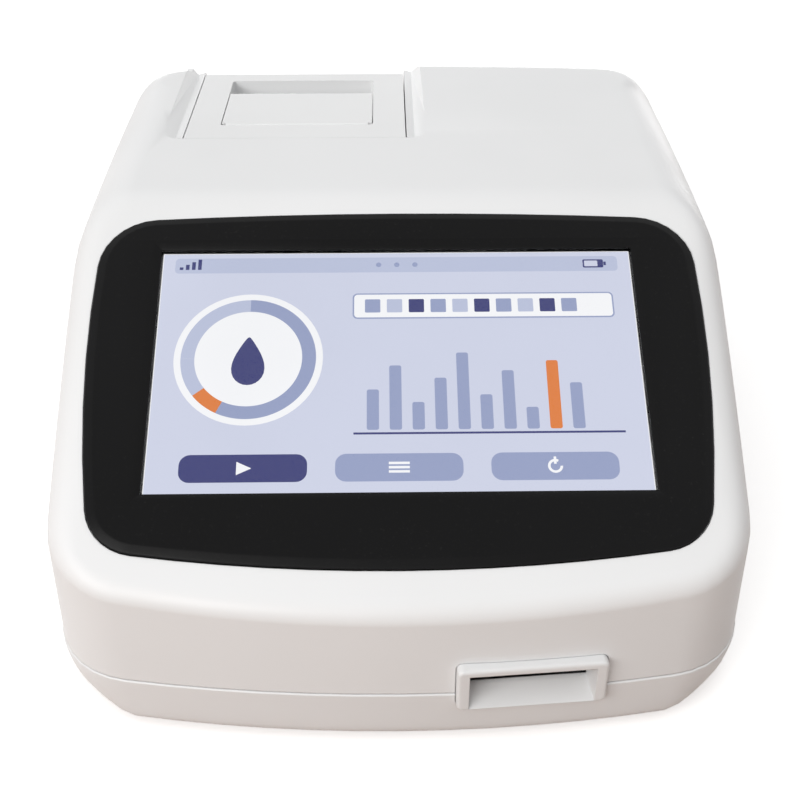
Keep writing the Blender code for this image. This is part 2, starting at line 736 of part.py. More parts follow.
def make_lower_housing():
    rim = PARTING_HEIGHT - PARTING_GAP / 2
    foot_inset = (rim - FOOT_DROP - BOTTOM_EDGE_RADIUS) * math.tan(LOWER_DRAFT)
    lip_out = WALL + CLEARANCE
    lip_in = lip_out + LIP_WALL
    tuck = BOTTOM_CORNER_TUCK
    levels = []
    for index in range(BOTTOM_STEPS + 1):
        turn = HALF_PI * index / BOTTOM_STEPS
        height = FOOT_DROP + BOTTOM_EDGE_RADIUS * (1 - math.cos(turn))
        levels.append((foot_inset + BOTTOM_EDGE_RADIUS * (1 - math.sin(turn)), height, tuck * fall(height)))
    wall_foot, wall_top = FOOT_DROP + BOTTOM_EDGE_RADIUS, rim - PARTING_PROUD
    for index in range(1, LOWER_WALL_STEPS + 1):
        share = index / LOWER_WALL_STEPS
        height = wall_foot + (wall_top - wall_foot) * share
        levels.append((foot_inset * (1 - share) - PARTING_PROUD * share, height, tuck * fall(height)))
    levels += [
        (0.0, rim, 0.0),
        (lip_out, rim, 0.0),
        (lip_out, rim + LIP_HEIGHT, 0.0),
        (lip_in, rim + LIP_HEIGHT, 0.0),
        (lip_in, rim - LIP_ROOT, 0.0),
        (WALL + foot_inset, rim - 2 * LIP_ROOT, tuck),
        (WALL + foot_inset, LOWER_FLOOR + FLOOR_FILLET, tuck),
        (WALL + foot_inset + FLOOR_FILLET, LOWER_FLOOR, tuck),
    ]
    shell = lofted("lower_housing", [tucked_ring(BODY_STATIONS, *level) for level in levels], WHITE_PLASTIC)
    join(shell, *case_bosses_lower(), *board_bosses(), *guide_posts())
    cut(shell, *port_cutters("lower"), *rear_cutters("lower"))
    cut(shell, *(case_screw(index, CLEARANCE) for index in range(CORNERS)))
    cut(shell, *(foot_shape(index, CLEARANCE) for index in range(CORNERS)))
    return shell


def four_corners(inset_x, inset_y):
    """Four places in from the corners of the body: front left, front right, rear left, rear right."""
    return [
        (side * (BODY_WIDTH / 2 - inset_x), y)
        for y in (FRONT_Y + inset_y, REAR_Y - inset_y) for side in (-1, 1)
    ]


def case_bosses_upper():
    bosses = []
    drafted = (TOP_HEIGHT - PARTING_HEIGHT) * math.tan(UPPER_DRAFT)
    edge_drop = shoulder_drop(CASE_BOSS_INSET_X - CASE_BOSS_RADIUS - drafted, TOP_SHOULDER_RADIUS)
    for index, (x, y) in enumerate(four_corners(CASE_BOSS_INSET_X, CASE_BOSS_INSET_Y)):
        roof = min(screen_height(y) - WALL, TOP_HEIGHT - edge_drop - CASE_BOSS_COVER)
        start = (x, y, PARTING_HEIGHT + PARTING_GAP)
        bosses.append(rod(f"upper_boss_{index}", CASE_BOSS_RADIUS, start, (x, y, roof),
                          segments=SMALL_SEGMENTS))
    return bosses


def case_bosses_lower():
    return [
        rod(f"lower_boss_{index}", CASE_BOSS_RADIUS, (x, y, LOWER_FLOOR - WALL / 2),
            (x, y, PARTING_HEIGHT + PARTING_GAP - CLEARANCE), segments=SMALL_SEGMENTS)
        for index, (x, y) in enumerate(four_corners(CASE_BOSS_INSET_X, CASE_BOSS_INSET_Y))
    ]


def case_screw(index, grow=0.0):
    """A case screw, or with grow the hollow that takes it and its driver."""
    x, y = four_corners(CASE_BOSS_INSET_X, CASE_BOSS_INSET_Y)[index]
    name = f"case_screw_{index + 1}"
    bottom = CASE_SEAT_HEIGHT - CASE_HEAD_HEIGHT
    top = CASE_SEAT_HEIGHT + CASE_SCREW_LENGTH
    if not grow:
        screw = rod(name, CASE_HEAD_RADIUS, (x, y, bottom), (x, y, CASE_SEAT_HEIGHT), STEEL,
                    segments=SMALL_SEGMENTS)
        shank = rod(name + "_shank", CASE_SCREW_RADIUS, (x, y, bottom + CASE_HEAD_HEIGHT / 2), (x, y, top),
                    segments=SMALL_SEGMENTS)
        cross = drive_cross(name, x, y, bottom, CASE_HEAD_RADIUS, CASE_HEAD_HEIGHT, None)
        return cut(join(screw, shank), *cross)
    hollow = rod(name + "_hollow", CASE_HEAD_RADIUS + grow, (x, y, -OVERRUN), (x, y, CASE_SEAT_HEIGHT + grow),
                 segments=SMALL_SEGMENTS)
    pilot = rod(name + "_pilot", CASE_SCREW_RADIUS + grow, (x, y, 0), (x, y, top + grow),
                segments=SMALL_SEGMENTS)
    return join(hollow, pilot)


def drive_cross(name, x, y, bottom, head_radius, head_height, frame):
    """The cross in a screw's head, as two short slots that meet in its middle."""
    half, width, depth = head_radius / 2, head_radius / 8, head_height / 2
    return [
        block(f"{name}_slot_{turn}", (x - half_x, y - half_y, bottom - depth),
              (x + half_x, y + half_y, bottom + depth),
              None, frame)
        for turn, (half_x, half_y) in enumerate(((half, width), (width, half)))
    ]


def foot_shape(index, grow=0.0):
    x, y = four_corners(FOOT_INSET_X, FOOT_INSET_Y)[index]
    if grow:
        return rod(f"foot_recess_{index}", FOOT_RADIUS + grow, (x, y, 0), (x, y, FOOT_DROP + FOOT_RECESS))
    name = ("foot_front_left", "foot_front_right", "foot_rear_left", "foot_rear_right")[index]
    return rod(name, FOOT_RADIUS, (x, y, 0), (x, y, FOOT_DROP + FOOT_RECESS - CLEARANCE), RUBBER)


# Screen group

def screen_hole_half():
    return LCD_WIDTH / 2 + SCREEN_HOLE_MARGIN


def screen_box(name, margin, top, thickness, material=None):
    """A plate behind the screen opening, grown round the picture by a margin."""
    return block(
        name, (-LCD_WIDTH / 2 - margin, LCD_START - margin, top - thickness),
        (LCD_WIDTH / 2 + margin, LCD_START + LCD_HEIGHT + margin, top), material, SCREEN_FRAME,
    )


def make_screen_group():
    lip_top = BEZEL_PROUD - BEZEL_BEVEL_DEPTH
    glass_top = lip_top - BEZEL_LIP - CLEARANCE
    module_top = glass_top - GLASS_THICKNESS - CLEARANCE
    rim_foot = BEZEL_PROUD - BEZEL_RIM_DROP
    underside = CLEARANCE - BEZEL_SEAT_DEPTH
    rings = [flat_ring(BEZEL_STATIONS, 0.0, underside)]
    for across, up in RIM_PROFILE_SHARES:
        rings.append(flat_ring(BEZEL_STATIONS, BEZEL_RIM_WIDTH * across, rim_foot + BEZEL_RIM_DROP * up))
    bezel = lofted("screen_bezel", rings, BLACK_PLASTIC, SCREEN_FRAME)
    opening = screen_box("bezel_opening", FIT_GAP, BEZEL_PROUD + OVERRUN, 3 * OVERRUN)
    pocket = screen_box("glass_pocket", GLASS_MARGIN + CLEARANCE, lip_top - BEZEL_LIP, OVERRUN)
    cut(bezel, bezel_bevel_cutter(lip_top), opening, pocket)
    screen_box("touch_glass", GLASS_MARGIN, glass_top, GLASS_THICKNESS, GLASS)
    screen_box("lcd_module", MODULE_MARGIN, module_top, MODULE_THICKNESS, STEEL)
    make_brackets()
    for index in range(CORNERS):
        bracket_screw(index)


def bezel_bevel_cutter(lip_top):
    """The sloping edge from the bezel's face down to the picture."""
    near, far = FIT_GAP, BEZEL_BEVEL_WIDTH
    stretch = (BEZEL_BEVEL_DEPTH + OVERRUN) / BEZEL_BEVEL_DEPTH
    grow = near + (far - near) * stretch
    middle = LCD_START + LCD_HEIGHT / 2
    shape = bmesh.new()
    bmesh.ops.create_cube(shape, size=1.0)
    for vert in shape.verts:
        margin = grow if vert.co.z > 0 else near
        vert.co = (
            math.copysign(LCD_WIDTH / 2 + margin, vert.co.x),
            middle + math.copysign(LCD_HEIGHT / 2 + margin, vert.co.y),
            lip_top + BEZEL_BEVEL_DEPTH + OVERRUN if vert.co.z > 0 else lip_top,
        )
    return put("bezel_bevel", shape, None, SCREEN_FRAME)


def bracket_top():
    glass_top = BEZEL_PROUD - BEZEL_BEVEL_DEPTH - BEZEL_LIP - CLEARANCE
    return glass_top - GLASS_THICKNESS - MODULE_THICKNESS - 2 * CLEARANCE


def bracket_places():
    middle = LCD_START + LCD_HEIGHT / 2
    reach_x = BRACKET_WIDTH / 2 - BRACKET_SCREW_INSET
    reach_y = BRACKET_HEIGHT / 2 - BRACKET_SCREW_INSET
    return [(side * reach_x, middle + end * reach_y) for end in (-1, 1) for side in (-1, 1)]


def bracket_bosses():
    return [
        rod(f"bracket_boss_{index}", BRACKET_BOSS_RADIUS, (x, y, -WALL), (x, y, bracket_top()), None,
            SCREEN_FRAME,
            SMALL_SEGMENTS)
        for index, (x, y) in enumerate(bracket_places())
    ]


def make_brackets():
    """Two steel strips that hold the screen's ends against the housing."""
    middle = LCD_START + LCD_HEIGHT / 2
    outer, half_y = BRACKET_WIDTH / 2, BRACKET_HEIGHT / 2
    plate_top = bracket_top() - CLEARANCE
    for name, side in (("screen_bracket_left", -1), ("screen_bracket_right", 1)):
        low_x, high_x = sorted((side * outer, side * (outer - BRACKET_STRIP_WIDTH)))
        bracket = block(name, (low_x, middle - half_y, plate_top - BRACKET_THICKNESS),
                        (high_x, middle + half_y, plate_top),
                        STEEL, SCREEN_FRAME)
        own = [index for index in range(CORNERS) if bracket_places()[index][0] * side > 0]
        cut(bracket, *(bracket_screw(index, CLEARANCE) for index in own))


def bracket_screw(index, grow=0.0):
    """A screw that holds the screen bracket, or with grow the hole for its shank."""
    x, y = bracket_places()[index]
    name = f"bracket_screw_{index + 1}"
    under = bracket_top() - 2 * CLEARANCE - BRACKET_THICKNESS
    tip = under + SMALL_SCREW_LENGTH
    if grow:
        return rod(name + "_hole", SMALL_SCREW_RADIUS + grow, (x, y, under - OVERRUN), (x, y, tip + grow),
                   None,
                   SCREEN_FRAME, SMALL_SEGMENTS)
    head = rod(name, SMALL_HEAD_RADIUS, (x, y, under - SMALL_HEAD_HEIGHT), (x, y, under), STEEL, SCREEN_FRAME,
               SMALL_SEGMENTS)
    shank = rod(name + "_shank", SMALL_SCREW_RADIUS, (x, y, under - SMALL_HEAD_HEIGHT / 2), (x, y, tip), None,
                SCREEN_FRAME, SMALL_SEGMENTS)
    cross = drive_cross(name, x, y, under - SMALL_HEAD_HEIGHT, SMALL_HEAD_RADIUS, SMALL_HEAD_HEIGHT,
                        SCREEN_FRAME)
    return cut(join(head, shank), *cross)


# Printer bay, lid and release paddle

def bay_half():
    return LID_WIDTH / 2 + LID_SIDE_GAP


def bay_collar():
    """Walls round the lid's opening, under the top."""
    half = bay_half() + COLLAR_WALL
    rear = REAR_Y - LID_FRONT_Y - REAR_SHOULDER_RADIUS
    return block("bay_collar", (-half, -COLLAR_WALL, -COLLAR_DEPTH), (half, rear, -WALL / 2), None, LID_FRAME)


def channel_backing():
    """Thickens the roof under the scoop, which is deeper at the rear than the wall is thick."""
    half = LID_WIDTH / 2 + CHANNEL_FLOOR_MARGIN + CHANNEL_SLOPE_WIDTH + WALL / 2
    rear = REAR_Y - BACKING_REAR_GAP
    low = (LID_CENTRE_X - half, LID_FRONT_Y - WALL, TOP_HEIGHT - CHANNEL_REAR_DEPTH - CHANNEL_DIP - WALL)
    return block("channel_backing", low, (LID_CENTRE_X + half, rear, TOP_HEIGHT - WALL * BACKING_TOP_SHARE))


def bay_cutter():
    """The opening under the lid, and the notch in the rear wall behind its knuckle."""
    deep = block("bay_opening", (-bay_half(), 0, -COLLAR_DEPTH - OVERRUN),
                 (bay_half(), HINGE_FROM_FRONT - KNUCKLE_RADIUS, OVERRUN), None, LID_FRAME)
    notch_low = -HINGE_DROP - NOTCH_BELOW_AXIS
    notch = block("bay_notch", (-bay_half(), HINGE_FROM_FRONT - KNUCKLE_RADIUS - OVERRUN, notch_low),
                  (bay_half(), REAR_Y, OVERRUN), None, LID_FRAME)
    return join(deep, notch)


def channel_section(y, depth):
    """The scoop across the lid: flush with the lid's edge, dipping beside it, then up a steep side."""
    floor_half = LID_WIDTH / 2 + CHANNEL_FLOOR_MARGIN
    rise = (depth + CHANNEL_HEADROOM + CHANNEL_DIP) / (depth + CHANNEL_DIP)
    top_half = floor_half + CHANNEL_SLOPE_WIDTH * rise
    right = [(bay_half(), 0.0), (floor_half, -CHANNEL_DIP), (top_half, depth + CHANNEL_HEADROOM)]
    return [(x, y, z) for x, z in right] + [(-x, y, z) for x, z in reversed(right)]


def channel_cutter():
    """The shallow scoop round the lid, which deepens toward the rear."""
    shape = bmesh.new()
    near = channel_section(0.0, CHANNEL_FRONT_DEPTH)
    far = channel_section(CHANNEL_LENGTH + CHANNEL_RUNOUT, CHANNEL_REAR_DEPTH)
    for row in loft(shape, [near, far]):
        shape.faces.new(row)
    sides = [edge for edge in shape.edges if all(vert.co.y < CLEARANCE for vert in edge.verts)
             and abs(edge.verts[0].co.z - edge.verts[1].co.z) > CHANNEL_DIP + CLEARANCE]
    bmesh.ops.bevel(shape, geom=sides, offset=CHANNEL_CORNER, segments=CHANNEL_CORNER_STEPS, profile=0.5,
                    affect="EDGES")
    bmesh.ops.triangulate(shape, faces=shape.faces)
    return put("channel_scoop", shape, None, LID_FRAME)


def hinge_pin_cutter():
    half = bay_half() + COLLAR_WALL + OVERRUN
    return rod("hinge_pin_hole", HINGE_PIN_RADIUS + CLEARANCE, (-half, HINGE_FROM_FRONT, -HINGE_DROP),
               (half, HINGE_FROM_FRONT, -HINGE_DROP), None, LID_FRAME, SMALL_SEGMENTS)


def make_lid():
    half = LID_WIDTH / 2
    lid = block("printer_lid", (-half, CLEARANCE, -LID_THICKNESS), (half, HINGE_FROM_FRONT + LID_TAIL, 0),
                WHITE_PLASTIC,
                LID_FRAME, LID_EDGE_RADIUS, "ends")
    knuckle = rod("lid_knuckle", KNUCKLE_RADIUS, (-half, HINGE_FROM_FRONT, -HINGE_DROP),
                  (half, HINGE_FROM_FRONT, -HINGE_DROP), None, LID_FRAME)
    nose = block("lid_nose", (-half, HINGE_FROM_FRONT - KNUCKLE_RADIUS, -HINGE_DROP),
                 (half, HINGE_FROM_FRONT, -WALL / 2),
                 None, LID_FRAME)
    skirts = [
        block(f"lid_skirt_{side}", (min(side * half, side * (half - LID_SKIRT_WALL)), LID_SKIRT_START,
                                    -LID_SKIRT_DEPTH),
              (max(side * half, side * (half - LID_SKIRT_WALL)), HINGE_FROM_FRONT, -LID_THICKNESS / 2), None,
              LID_FRAME)
        for side in (-1, 1)
    ]
    well_half = WINDOW_WIDTH / 2
    window_rear = WINDOW_FRONT + WINDOW_LENGTH
    well_shell = block(
        "lid_well_shell", (-well_half - WELL_WALL, WINDOW_FRONT - WELL_WALL, -WELL_DEPTH - WELL_WALL),
        (well_half + WELL_WALL, window_rear + WELL_WALL, -LID_THICKNESS / 2), None, LID_FRAME,
    )
    well = block("lid_well", (-well_half, WINDOW_FRONT, -WELL_DEPTH), (well_half, window_rear, OVERRUN),
                 None, LID_FRAME,
                 WINDOW_CORNER, "upright")
    bore = rod("lid_hinge_bore", HINGE_PIN_RADIUS + CLEARANCE,
               (-half - OVERRUN, HINGE_FROM_FRONT, -HINGE_DROP),
               (half + OVERRUN, HINGE_FROM_FRONT, -HINGE_DROP), None, LID_FRAME, SMALL_SEGMENTS)
    join(lid, knuckle, nose, *skirts, well_shell, *platen_ears())
    cut(lid, well, bore, platen_bore(), paddle_pin_shape(CLEARANCE))
    pin_half = bay_half() + COLLAR_WALL
    rod("lid_hinge_pin", HINGE_PIN_RADIUS, (-pin_half, HINGE_FROM_FRONT, -HINGE_DROP),
        (pin_half, HINGE_FROM_FRONT, -HINGE_DROP), STEEL, LID_FRAME, SMALL_SEGMENTS)
    return lid


def paddle_axis():
    return WINDOW_FRONT + PADDLE_GAP + PADDLE_BARREL_RADIUS, -PADDLE_BARREL_RADIUS


def paddle_pin_shape(grow=0.0):
    back, height = paddle_axis()
    reach = WINDOW_WIDTH / 2 + WELL_WALL / 2
    if grow:
        return rod("paddle_pin_hole", PADDLE_PIN_RADIUS + grow, (-reach - grow, back, height),
                   (reach + grow, back, height),
                   None, LID_FRAME, SMALL_SEGMENTS)
    return rod("paddle_pin", PADDLE_PIN_RADIUS, (-reach, back, height), (reach, back, height), STEEL,
               LID_FRAME,
               SMALL_SEGMENTS)


def make_paddle():
    back, height = paddle_axis()
    half = WINDOW_WIDTH / 2 - PADDLE_GAP
    paddle = block("lid_paddle", (-half, back, -PADDLE_THICKNESS), (half, WINDOW_FRONT + PADDLE_LENGTH, 0),
                   WHITE_PLASTIC,
                   LID_FRAME)
    inner = half - WINDOW_CORNER
    barrel = rod("paddle_barrel", PADDLE_BARREL_RADIUS, (-inner, back, height), (inner, back, height), None,
                 LID_FRAME)
    hole = rod("paddle_bore", PADDLE_PIN_RADIUS + CLEARANCE, (-half - OVERRUN, back, height),
               (half + OVERRUN, back, height), None, LID_FRAME, SMALL_SEGMENTS)
    cut(join(paddle, barrel), hole)
    return paddle


# Printer mechanism

def ear_inner():
    return PLATEN_LENGTH / 2 + CLEARANCE + FRAME_WALL + 2 * CLEARANCE


def platen_ears():
    ears = []
    for side in (-1, 1):
        edges = sorted((side * ear_inner(), side * (ear_inner() + EAR_THICKNESS)))
        hanger = block(f"platen_ear_{side}", (edges[0], PLATEN_FROM_FRONT - EAR_RADIUS, -PLATEN_DROP),
                       (edges[1], PLATEN_FROM_FRONT + EAR_RADIUS, -LID_THICKNESS / 2), None, LID_FRAME)
        eye = rod(f"platen_eye_{side}", EAR_RADIUS, (edges[0], PLATEN_FROM_FRONT, -PLATEN_DROP),
                  (edges[1], PLATEN_FROM_FRONT, -PLATEN_DROP), None, LID_FRAME)
        ears += [hanger, eye]
    return ears


def platen_bore():
    reach = ear_inner() + EAR_THICKNESS + OVERRUN
    return rod("platen_bore", PLATEN_SHAFT_RADIUS + CLEARANCE, (-reach, PLATEN_FROM_FRONT, -PLATEN_DROP),
               (reach, PLATEN_FROM_FRONT, -PLATEN_DROP), None, LID_FRAME, SMALL_SEGMENTS)


def gear_start():
    return ear_inner() + EAR_THICKNESS + FIT_GAP


def printer_gear_place():
    """Axis of the motor's gear, back and up from the lid's front edge."""
    reach = gear_radii(PLATEN_GEAR_TEETH, PRINTER_MODULE)[0] + gear_radii(PRINTER_GEAR_TEETH,
                                                                          PRINTER_MODULE)[0]
    return (PLATEN_FROM_FRONT + reach * math.sin(PRINTER_GEAR_LEAN),
            -PLATEN_DROP - reach * math.cos(PRINTER_GEAR_LEAN))


def gear_frame(back, height):
    """A frame whose +Z runs along the lid's +X at that place, and whose +X points down."""
    return LID_FRAME @ Matrix.Translation((gear_start(), back, height)) @ ALONG_X


def make_platen():
    back, height = PLATEN_FROM_FRONT, -PLATEN_DROP
    half = PLATEN_LENGTH / 2
    roller = rod("platen_roller", PLATEN_RADIUS, (-half, back, height), (half, back, height), RUBBER,
                 LID_FRAME)
    roller_bore = rod("roller_bore", PLATEN_SHAFT_RADIUS + CLEARANCE, (-half - OVERRUN, back, height),
                      (half + OVERRUN, back, height), None, LID_FRAME, SMALL_SEGMENTS)
    cut(roller, roller_bore)
    left = -ear_inner() - EAR_THICKNESS
    right = gear_start() + PRINTER_GEAR_WIDTH
    shaft = rod("platen_shaft", PLATEN_SHAFT_RADIUS, (left, back, height), (right, back, height), STEEL,
                LID_FRAME,
                SMALL_SEGMENTS)
    frame = gear_frame(back, height)
    lean = PRINTER_GEAR_LEAN
    gear = plate("platen_gear", gear_outline(PLATEN_GEAR_TEETH, PRINTER_MODULE, lean), PRINTER_GEAR_WIDTH,
                 ACETAL, frame)
    cut(gear, rod("platen_gear_bore", PLATEN_SHAFT_RADIUS + CLEARANCE, (0, 0, -OVERRUN),
                  (0, 0, PRINTER_GEAR_WIDTH + OVERRUN), None, frame, SMALL_SEGMENTS))
    return roller, shaft, gear


def make_printer_gear():
    """The motor's gear with its shaft, in mesh with the platen's gear."""
    frame = gear_frame(*printer_gear_place())
    half_tooth = math.pi / PRINTER_GEAR_TEETH
    turn = PRINTER_GEAR_LEAN + math.pi + half_tooth
    gear = plate("printer_motor_gear", gear_outline(PRINTER_GEAR_TEETH, PRINTER_MODULE, turn),
                 PRINTER_GEAR_WIDTH, ACETAL,
                 frame)
    sink = gear_start() - motor_face() + PRINTER_MOTOR_LENGTH / 4
    shaft = rod("printer_motor_shaft", DRIVE_SHAFT_RADIUS, (0, 0, -sink), (0, 0, PRINTER_GEAR_WIDTH), None,
                frame,
                SMALL_SEGMENTS)
    return join(gear, shaft)


def motor_face():
    return PLATEN_LENGTH / 2


def make_printer_mechanism():
    back, height = printer_gear_place()
    inner = PLATEN_LENGTH / 2 + CLEARANCE
    outer = inner + FRAME_WALL
    frame = block("printer_frame", (-outer, CLEARANCE, -FRAME_BOTTOM_DROP),
                  (outer, CLEARANCE + FRAME_LENGTH, -FRAME_TOP_DROP),
                  STEEL, LID_FRAME)
    hollow = block("printer_frame_hollow", (-inner, CLEARANCE - OVERRUN, FRAME_WALL - FRAME_BOTTOM_DROP),
                   (inner, CLEARANCE + FRAME_LENGTH + OVERRUN, OVERRUN), None, LID_FRAME)
    slot_half = PLATEN_SHAFT_RADIUS + NOTCH_GAP
    slot = block("platen_slot", (-outer - OVERRUN, PLATEN_FROM_FRONT - slot_half, -PLATEN_DROP - slot_half),
                 (outer + OVERRUN, PLATEN_FROM_FRONT + slot_half, 0), None, LID_FRAME)
    shaft_hole = rod("motor_shaft_hole", DRIVE_SHAFT_RADIUS + CLEARANCE, (inner - OVERRUN, back, height),
                     (outer + OVERRUN, back, height), None, LID_FRAME, SMALL_SEGMENTS)
    cut(frame, hollow, slot, shaft_hole)
    motor = rod("printer_motor", PRINTER_MOTOR_RADIUS, (motor_face() - PRINTER_MOTOR_LENGTH, back, height),
                (motor_face(), back, height), STEEL, LID_FRAME)
    cut(motor, rod("printer_motor_bore", DRIVE_SHAFT_RADIUS + CLEARANCE,
                   (motor_face() - PRINTER_MOTOR_LENGTH / 2, back, height),
                   (motor_face() + OVERRUN, back, height), None,
                   LID_FRAME, SMALL_SEGMENTS))
    head_rear = PLATEN_FROM_FRONT - PLATEN_RADIUS - PRINT_HEAD_GAP
    head_top = -PLATEN_DROP + PRINT_HEAD_HEIGHT / 4
    block("thermal_print_head", (CLEARANCE - inner, head_rear - PRINT_HEAD_THICKNESS,
                                 head_top - PRINT_HEAD_HEIGHT),
          (inner - CLEARANCE, head_rear, head_top), STEEL, LID_FRAME)
    make_tear_bar()


def make_tear_bar():
    """A thin steel strip with a toothed upper edge at the paper's way out."""
    half = PLATEN_LENGTH / 2
    top = -LID_THICKNESS - FIT_GAP
    pitch = 2 * half / TEAR_BAR_TEETH
    points = [(-half, top - TEAR_BAR_HEIGHT), (half, top - TEAR_BAR_HEIGHT)]
    for index in range(TEAR_BAR_TEETH):
        right = half - index * pitch
        points += [(right, top - TEAR_TOOTH), (right - pitch / 2, top)]
    points.append((-half, top - TEAR_TOOTH))
    stand = LID_FRAME @ Matrix.Translation((0, CLEARANCE + TEAR_BAR_THICKNESS, 0)) @ Matrix.Rotation(HALF_PI,
                                                                                                     4, "X")
    plate("tear_bar", points, TEAR_BAR_THICKNESS, STEEL, stand)


def roll_drop():
    return WELL_DEPTH + WELL_WALL + 2 * BUCKET_TANG + ROLL_RADIUS


def make_paper_roll():
    half = ROLL_WIDTH / 2
    roll = rod("paper_roll", ROLL_RADIUS, (-half, ROLL_FROM_FRONT, -roll_drop()),
               (half, ROLL_FROM_FRONT, -roll_drop()),
               PAPER, LID_FRAME, 2 * ROUND_SEGMENTS)
    core = rod("roll_core", ROLL_CORE_RADIUS, (-half - OVERRUN, ROLL_FROM_FRONT, -roll_drop()),
               (half + OVERRUN, ROLL_FROM_FRONT, -roll_drop()), None, LID_FRAME)
    return cut(roll, core)


def make_paper_bucket():
    """A round-bottomed trough under the lid, hung by tangs from the collar."""
    inner = ROLL_RADIUS + CLEARANCE
    top = -COLLAR_DEPTH - CLEARANCE
    half = ROLL_WIDTH / 2 + ROLL_SIDE_GAP
    side = LID_FRAME @ Matrix.Rotation(HALF_PI, 4, "Z") @ Matrix.Rotation(HALF_PI, 4, "X")

    def trough(radius, height):
        steps = [math.pi * step / BUCKET_STEPS for step in range(BUCKET_STEPS + 1)]
        arc = [(ROLL_FROM_FRONT - radius * math.cos(turn),
                -roll_drop() - radius * math.sin(turn)) for turn in steps]
        return [(ROLL_FROM_FRONT - radius, height), *arc, (ROLL_FROM_FRONT + radius, height)]

    long_half = half + BUCKET_WALL
    bucket = plate("paper_bucket", trough(inner + BUCKET_WALL, top - CLEARANCE), 2 * long_half, GREY_PLASTIC,
                   side, -long_half)
    hollow = plate("bucket_hollow", trough(inner, top + OVERRUN), 2 * half, None, side, -half)
    reach = bay_half() + COLLAR_WALL
    tang = block("bucket_tangs", (-reach, ROLL_FROM_FRONT - inner / 2, top - BUCKET_TANG),
                 (reach, ROLL_FROM_FRONT + inner / 2, top), None, LID_FRAME)
    return cut(join(bucket, tang), hollow)


# Strip port, tray and drive

def make_port_bezel():
    half = PORT_WIDTH / 2
    bezel = block("port_bezel", (-half, -PORT_PROUD, 0), (half, PORT_DEPTH - PORT_PROUD, PORT_HEIGHT),
                  WHITE_PLASTIC, PORT_FRAME, PORT_EDGE_RADIUS, "front", PORT_CORNER)
    flange = block("port_flange", *flange_corners(0.0), None, PORT_FRAME)
    mouth_half, slit_half = PORT_MOUTH_WIDTH / 2, SLIT_WIDTH / 2
    mouth_top, slit_top = PORT_HEIGHT - PORT_TOP_BAR, PORT_HEIGHT - SLIT_TOP_BAR
    near = (-mouth_half, mouth_half, PORT_MOUTH_FLOOR, mouth_top)
    far = (-slit_half, slit_half, SLIT_FLOOR, slit_top)
    lead = FIT_GAP / FUNNEL_DEPTH
    before = tuple(value + (value - end) * lead for value, end in zip(near, far))
    funnel = frustum("port_funnel", before, far, -PORT_PROUD - FIT_GAP, FUNNEL_DEPTH + FIT_GAP, PORT_FRAME)
    slit = frustum("port_slit", far, far, FUNNEL_DEPTH - PORT_PROUD - FIT_GAP, PORT_DEPTH, PORT_FRAME)
    return cut(join(bezel, flange), funnel, slit)


def flange_corners(grow):
    inner = WALL + CLEARANCE + FIT_GAP
    half = PORT_WIDTH / 2 + PORT_FLANGE + grow
    return (
        (-half, inner - grow, -PORT_FLANGE - grow),
        (half, inner + PORT_FLANGE_THICKNESS + grow, PORT_HEIGHT + PORT_FLANGE + grow),
    )


def port_cutters(shell):
    """The hole in the front wall, and the room behind it for the bezel's flange."""
    half = PORT_WIDTH / 2 + PORT_SEAM
    hole = block(f"port_hole_{shell}", (-half, -OVERRUN, -PORT_SEAM),
                 (half, PORT_DEPTH, PORT_HEIGHT + PORT_SEAM),
                 None, PORT_FRAME, corner=PORT_CORNER + PORT_SEAM)
    low, high = flange_corners(CLEARANCE)
    room = block(f"flange_room_{shell}", low, (high[0], PORT_DEPTH, high[2]), None, PORT_FRAME)
    return hole, room


def tray_front():
    """Where the closed tray's nose stands, in the slit behind the port's funnel."""
    return (PORT_FRAME @ Vector((0, TRAY_SETBACK - PORT_PROUD, 0))).y


def rack_lines():
    """X of the rack's pitch line, tooth tips and tooth roots, on the tray's left side."""
    root = TRAY_X - TRAY_WIDTH / 2 - RACK_BACK
    pitch = root - RACK_MODULE * TOOTH_ROOT_SHARE
    return pitch, pitch - RACK_MODULE * TOOTH_TIP_SHARE, root


def pinion_place():
    radius = gear_radii(PINION_TEETH, RACK_MODULE)[0]
    return rack_lines()[0] - radius, tray_front() + PINION_FROM_FRONT


def rack_outline(start, end):
    """The toothed bar along the tray, with a gap between teeth level with the pinion's axis."""
    _, tip, root = rack_lines()
    back = TRAY_X - TRAY_WIDTH / 2 + RACK_BACK
    pitch = math.pi * RACK_MODULE
    middle_y = pinion_place()[1]
    points = [(back, start), (root, start)]
    first = math.ceil((start - middle_y) / pitch)
    last = math.floor((end - middle_y) / pitch)
    for index in range(first, last):
        centre = middle_y + (index + 1 / 2) * pitch
        for at_tip, spread in reversed(TOOTH_FLANK_SHARES):
            side = 1 if spread > 0 else -1
            points.append((tip if at_tip else root, centre - spread * pitch / 4 + side * GEAR_BACKLASH / 2))
    points = points[:2] + sorted(points[2:], key=lambda point: point[1])
    return points + [(root, end), (back, end)]


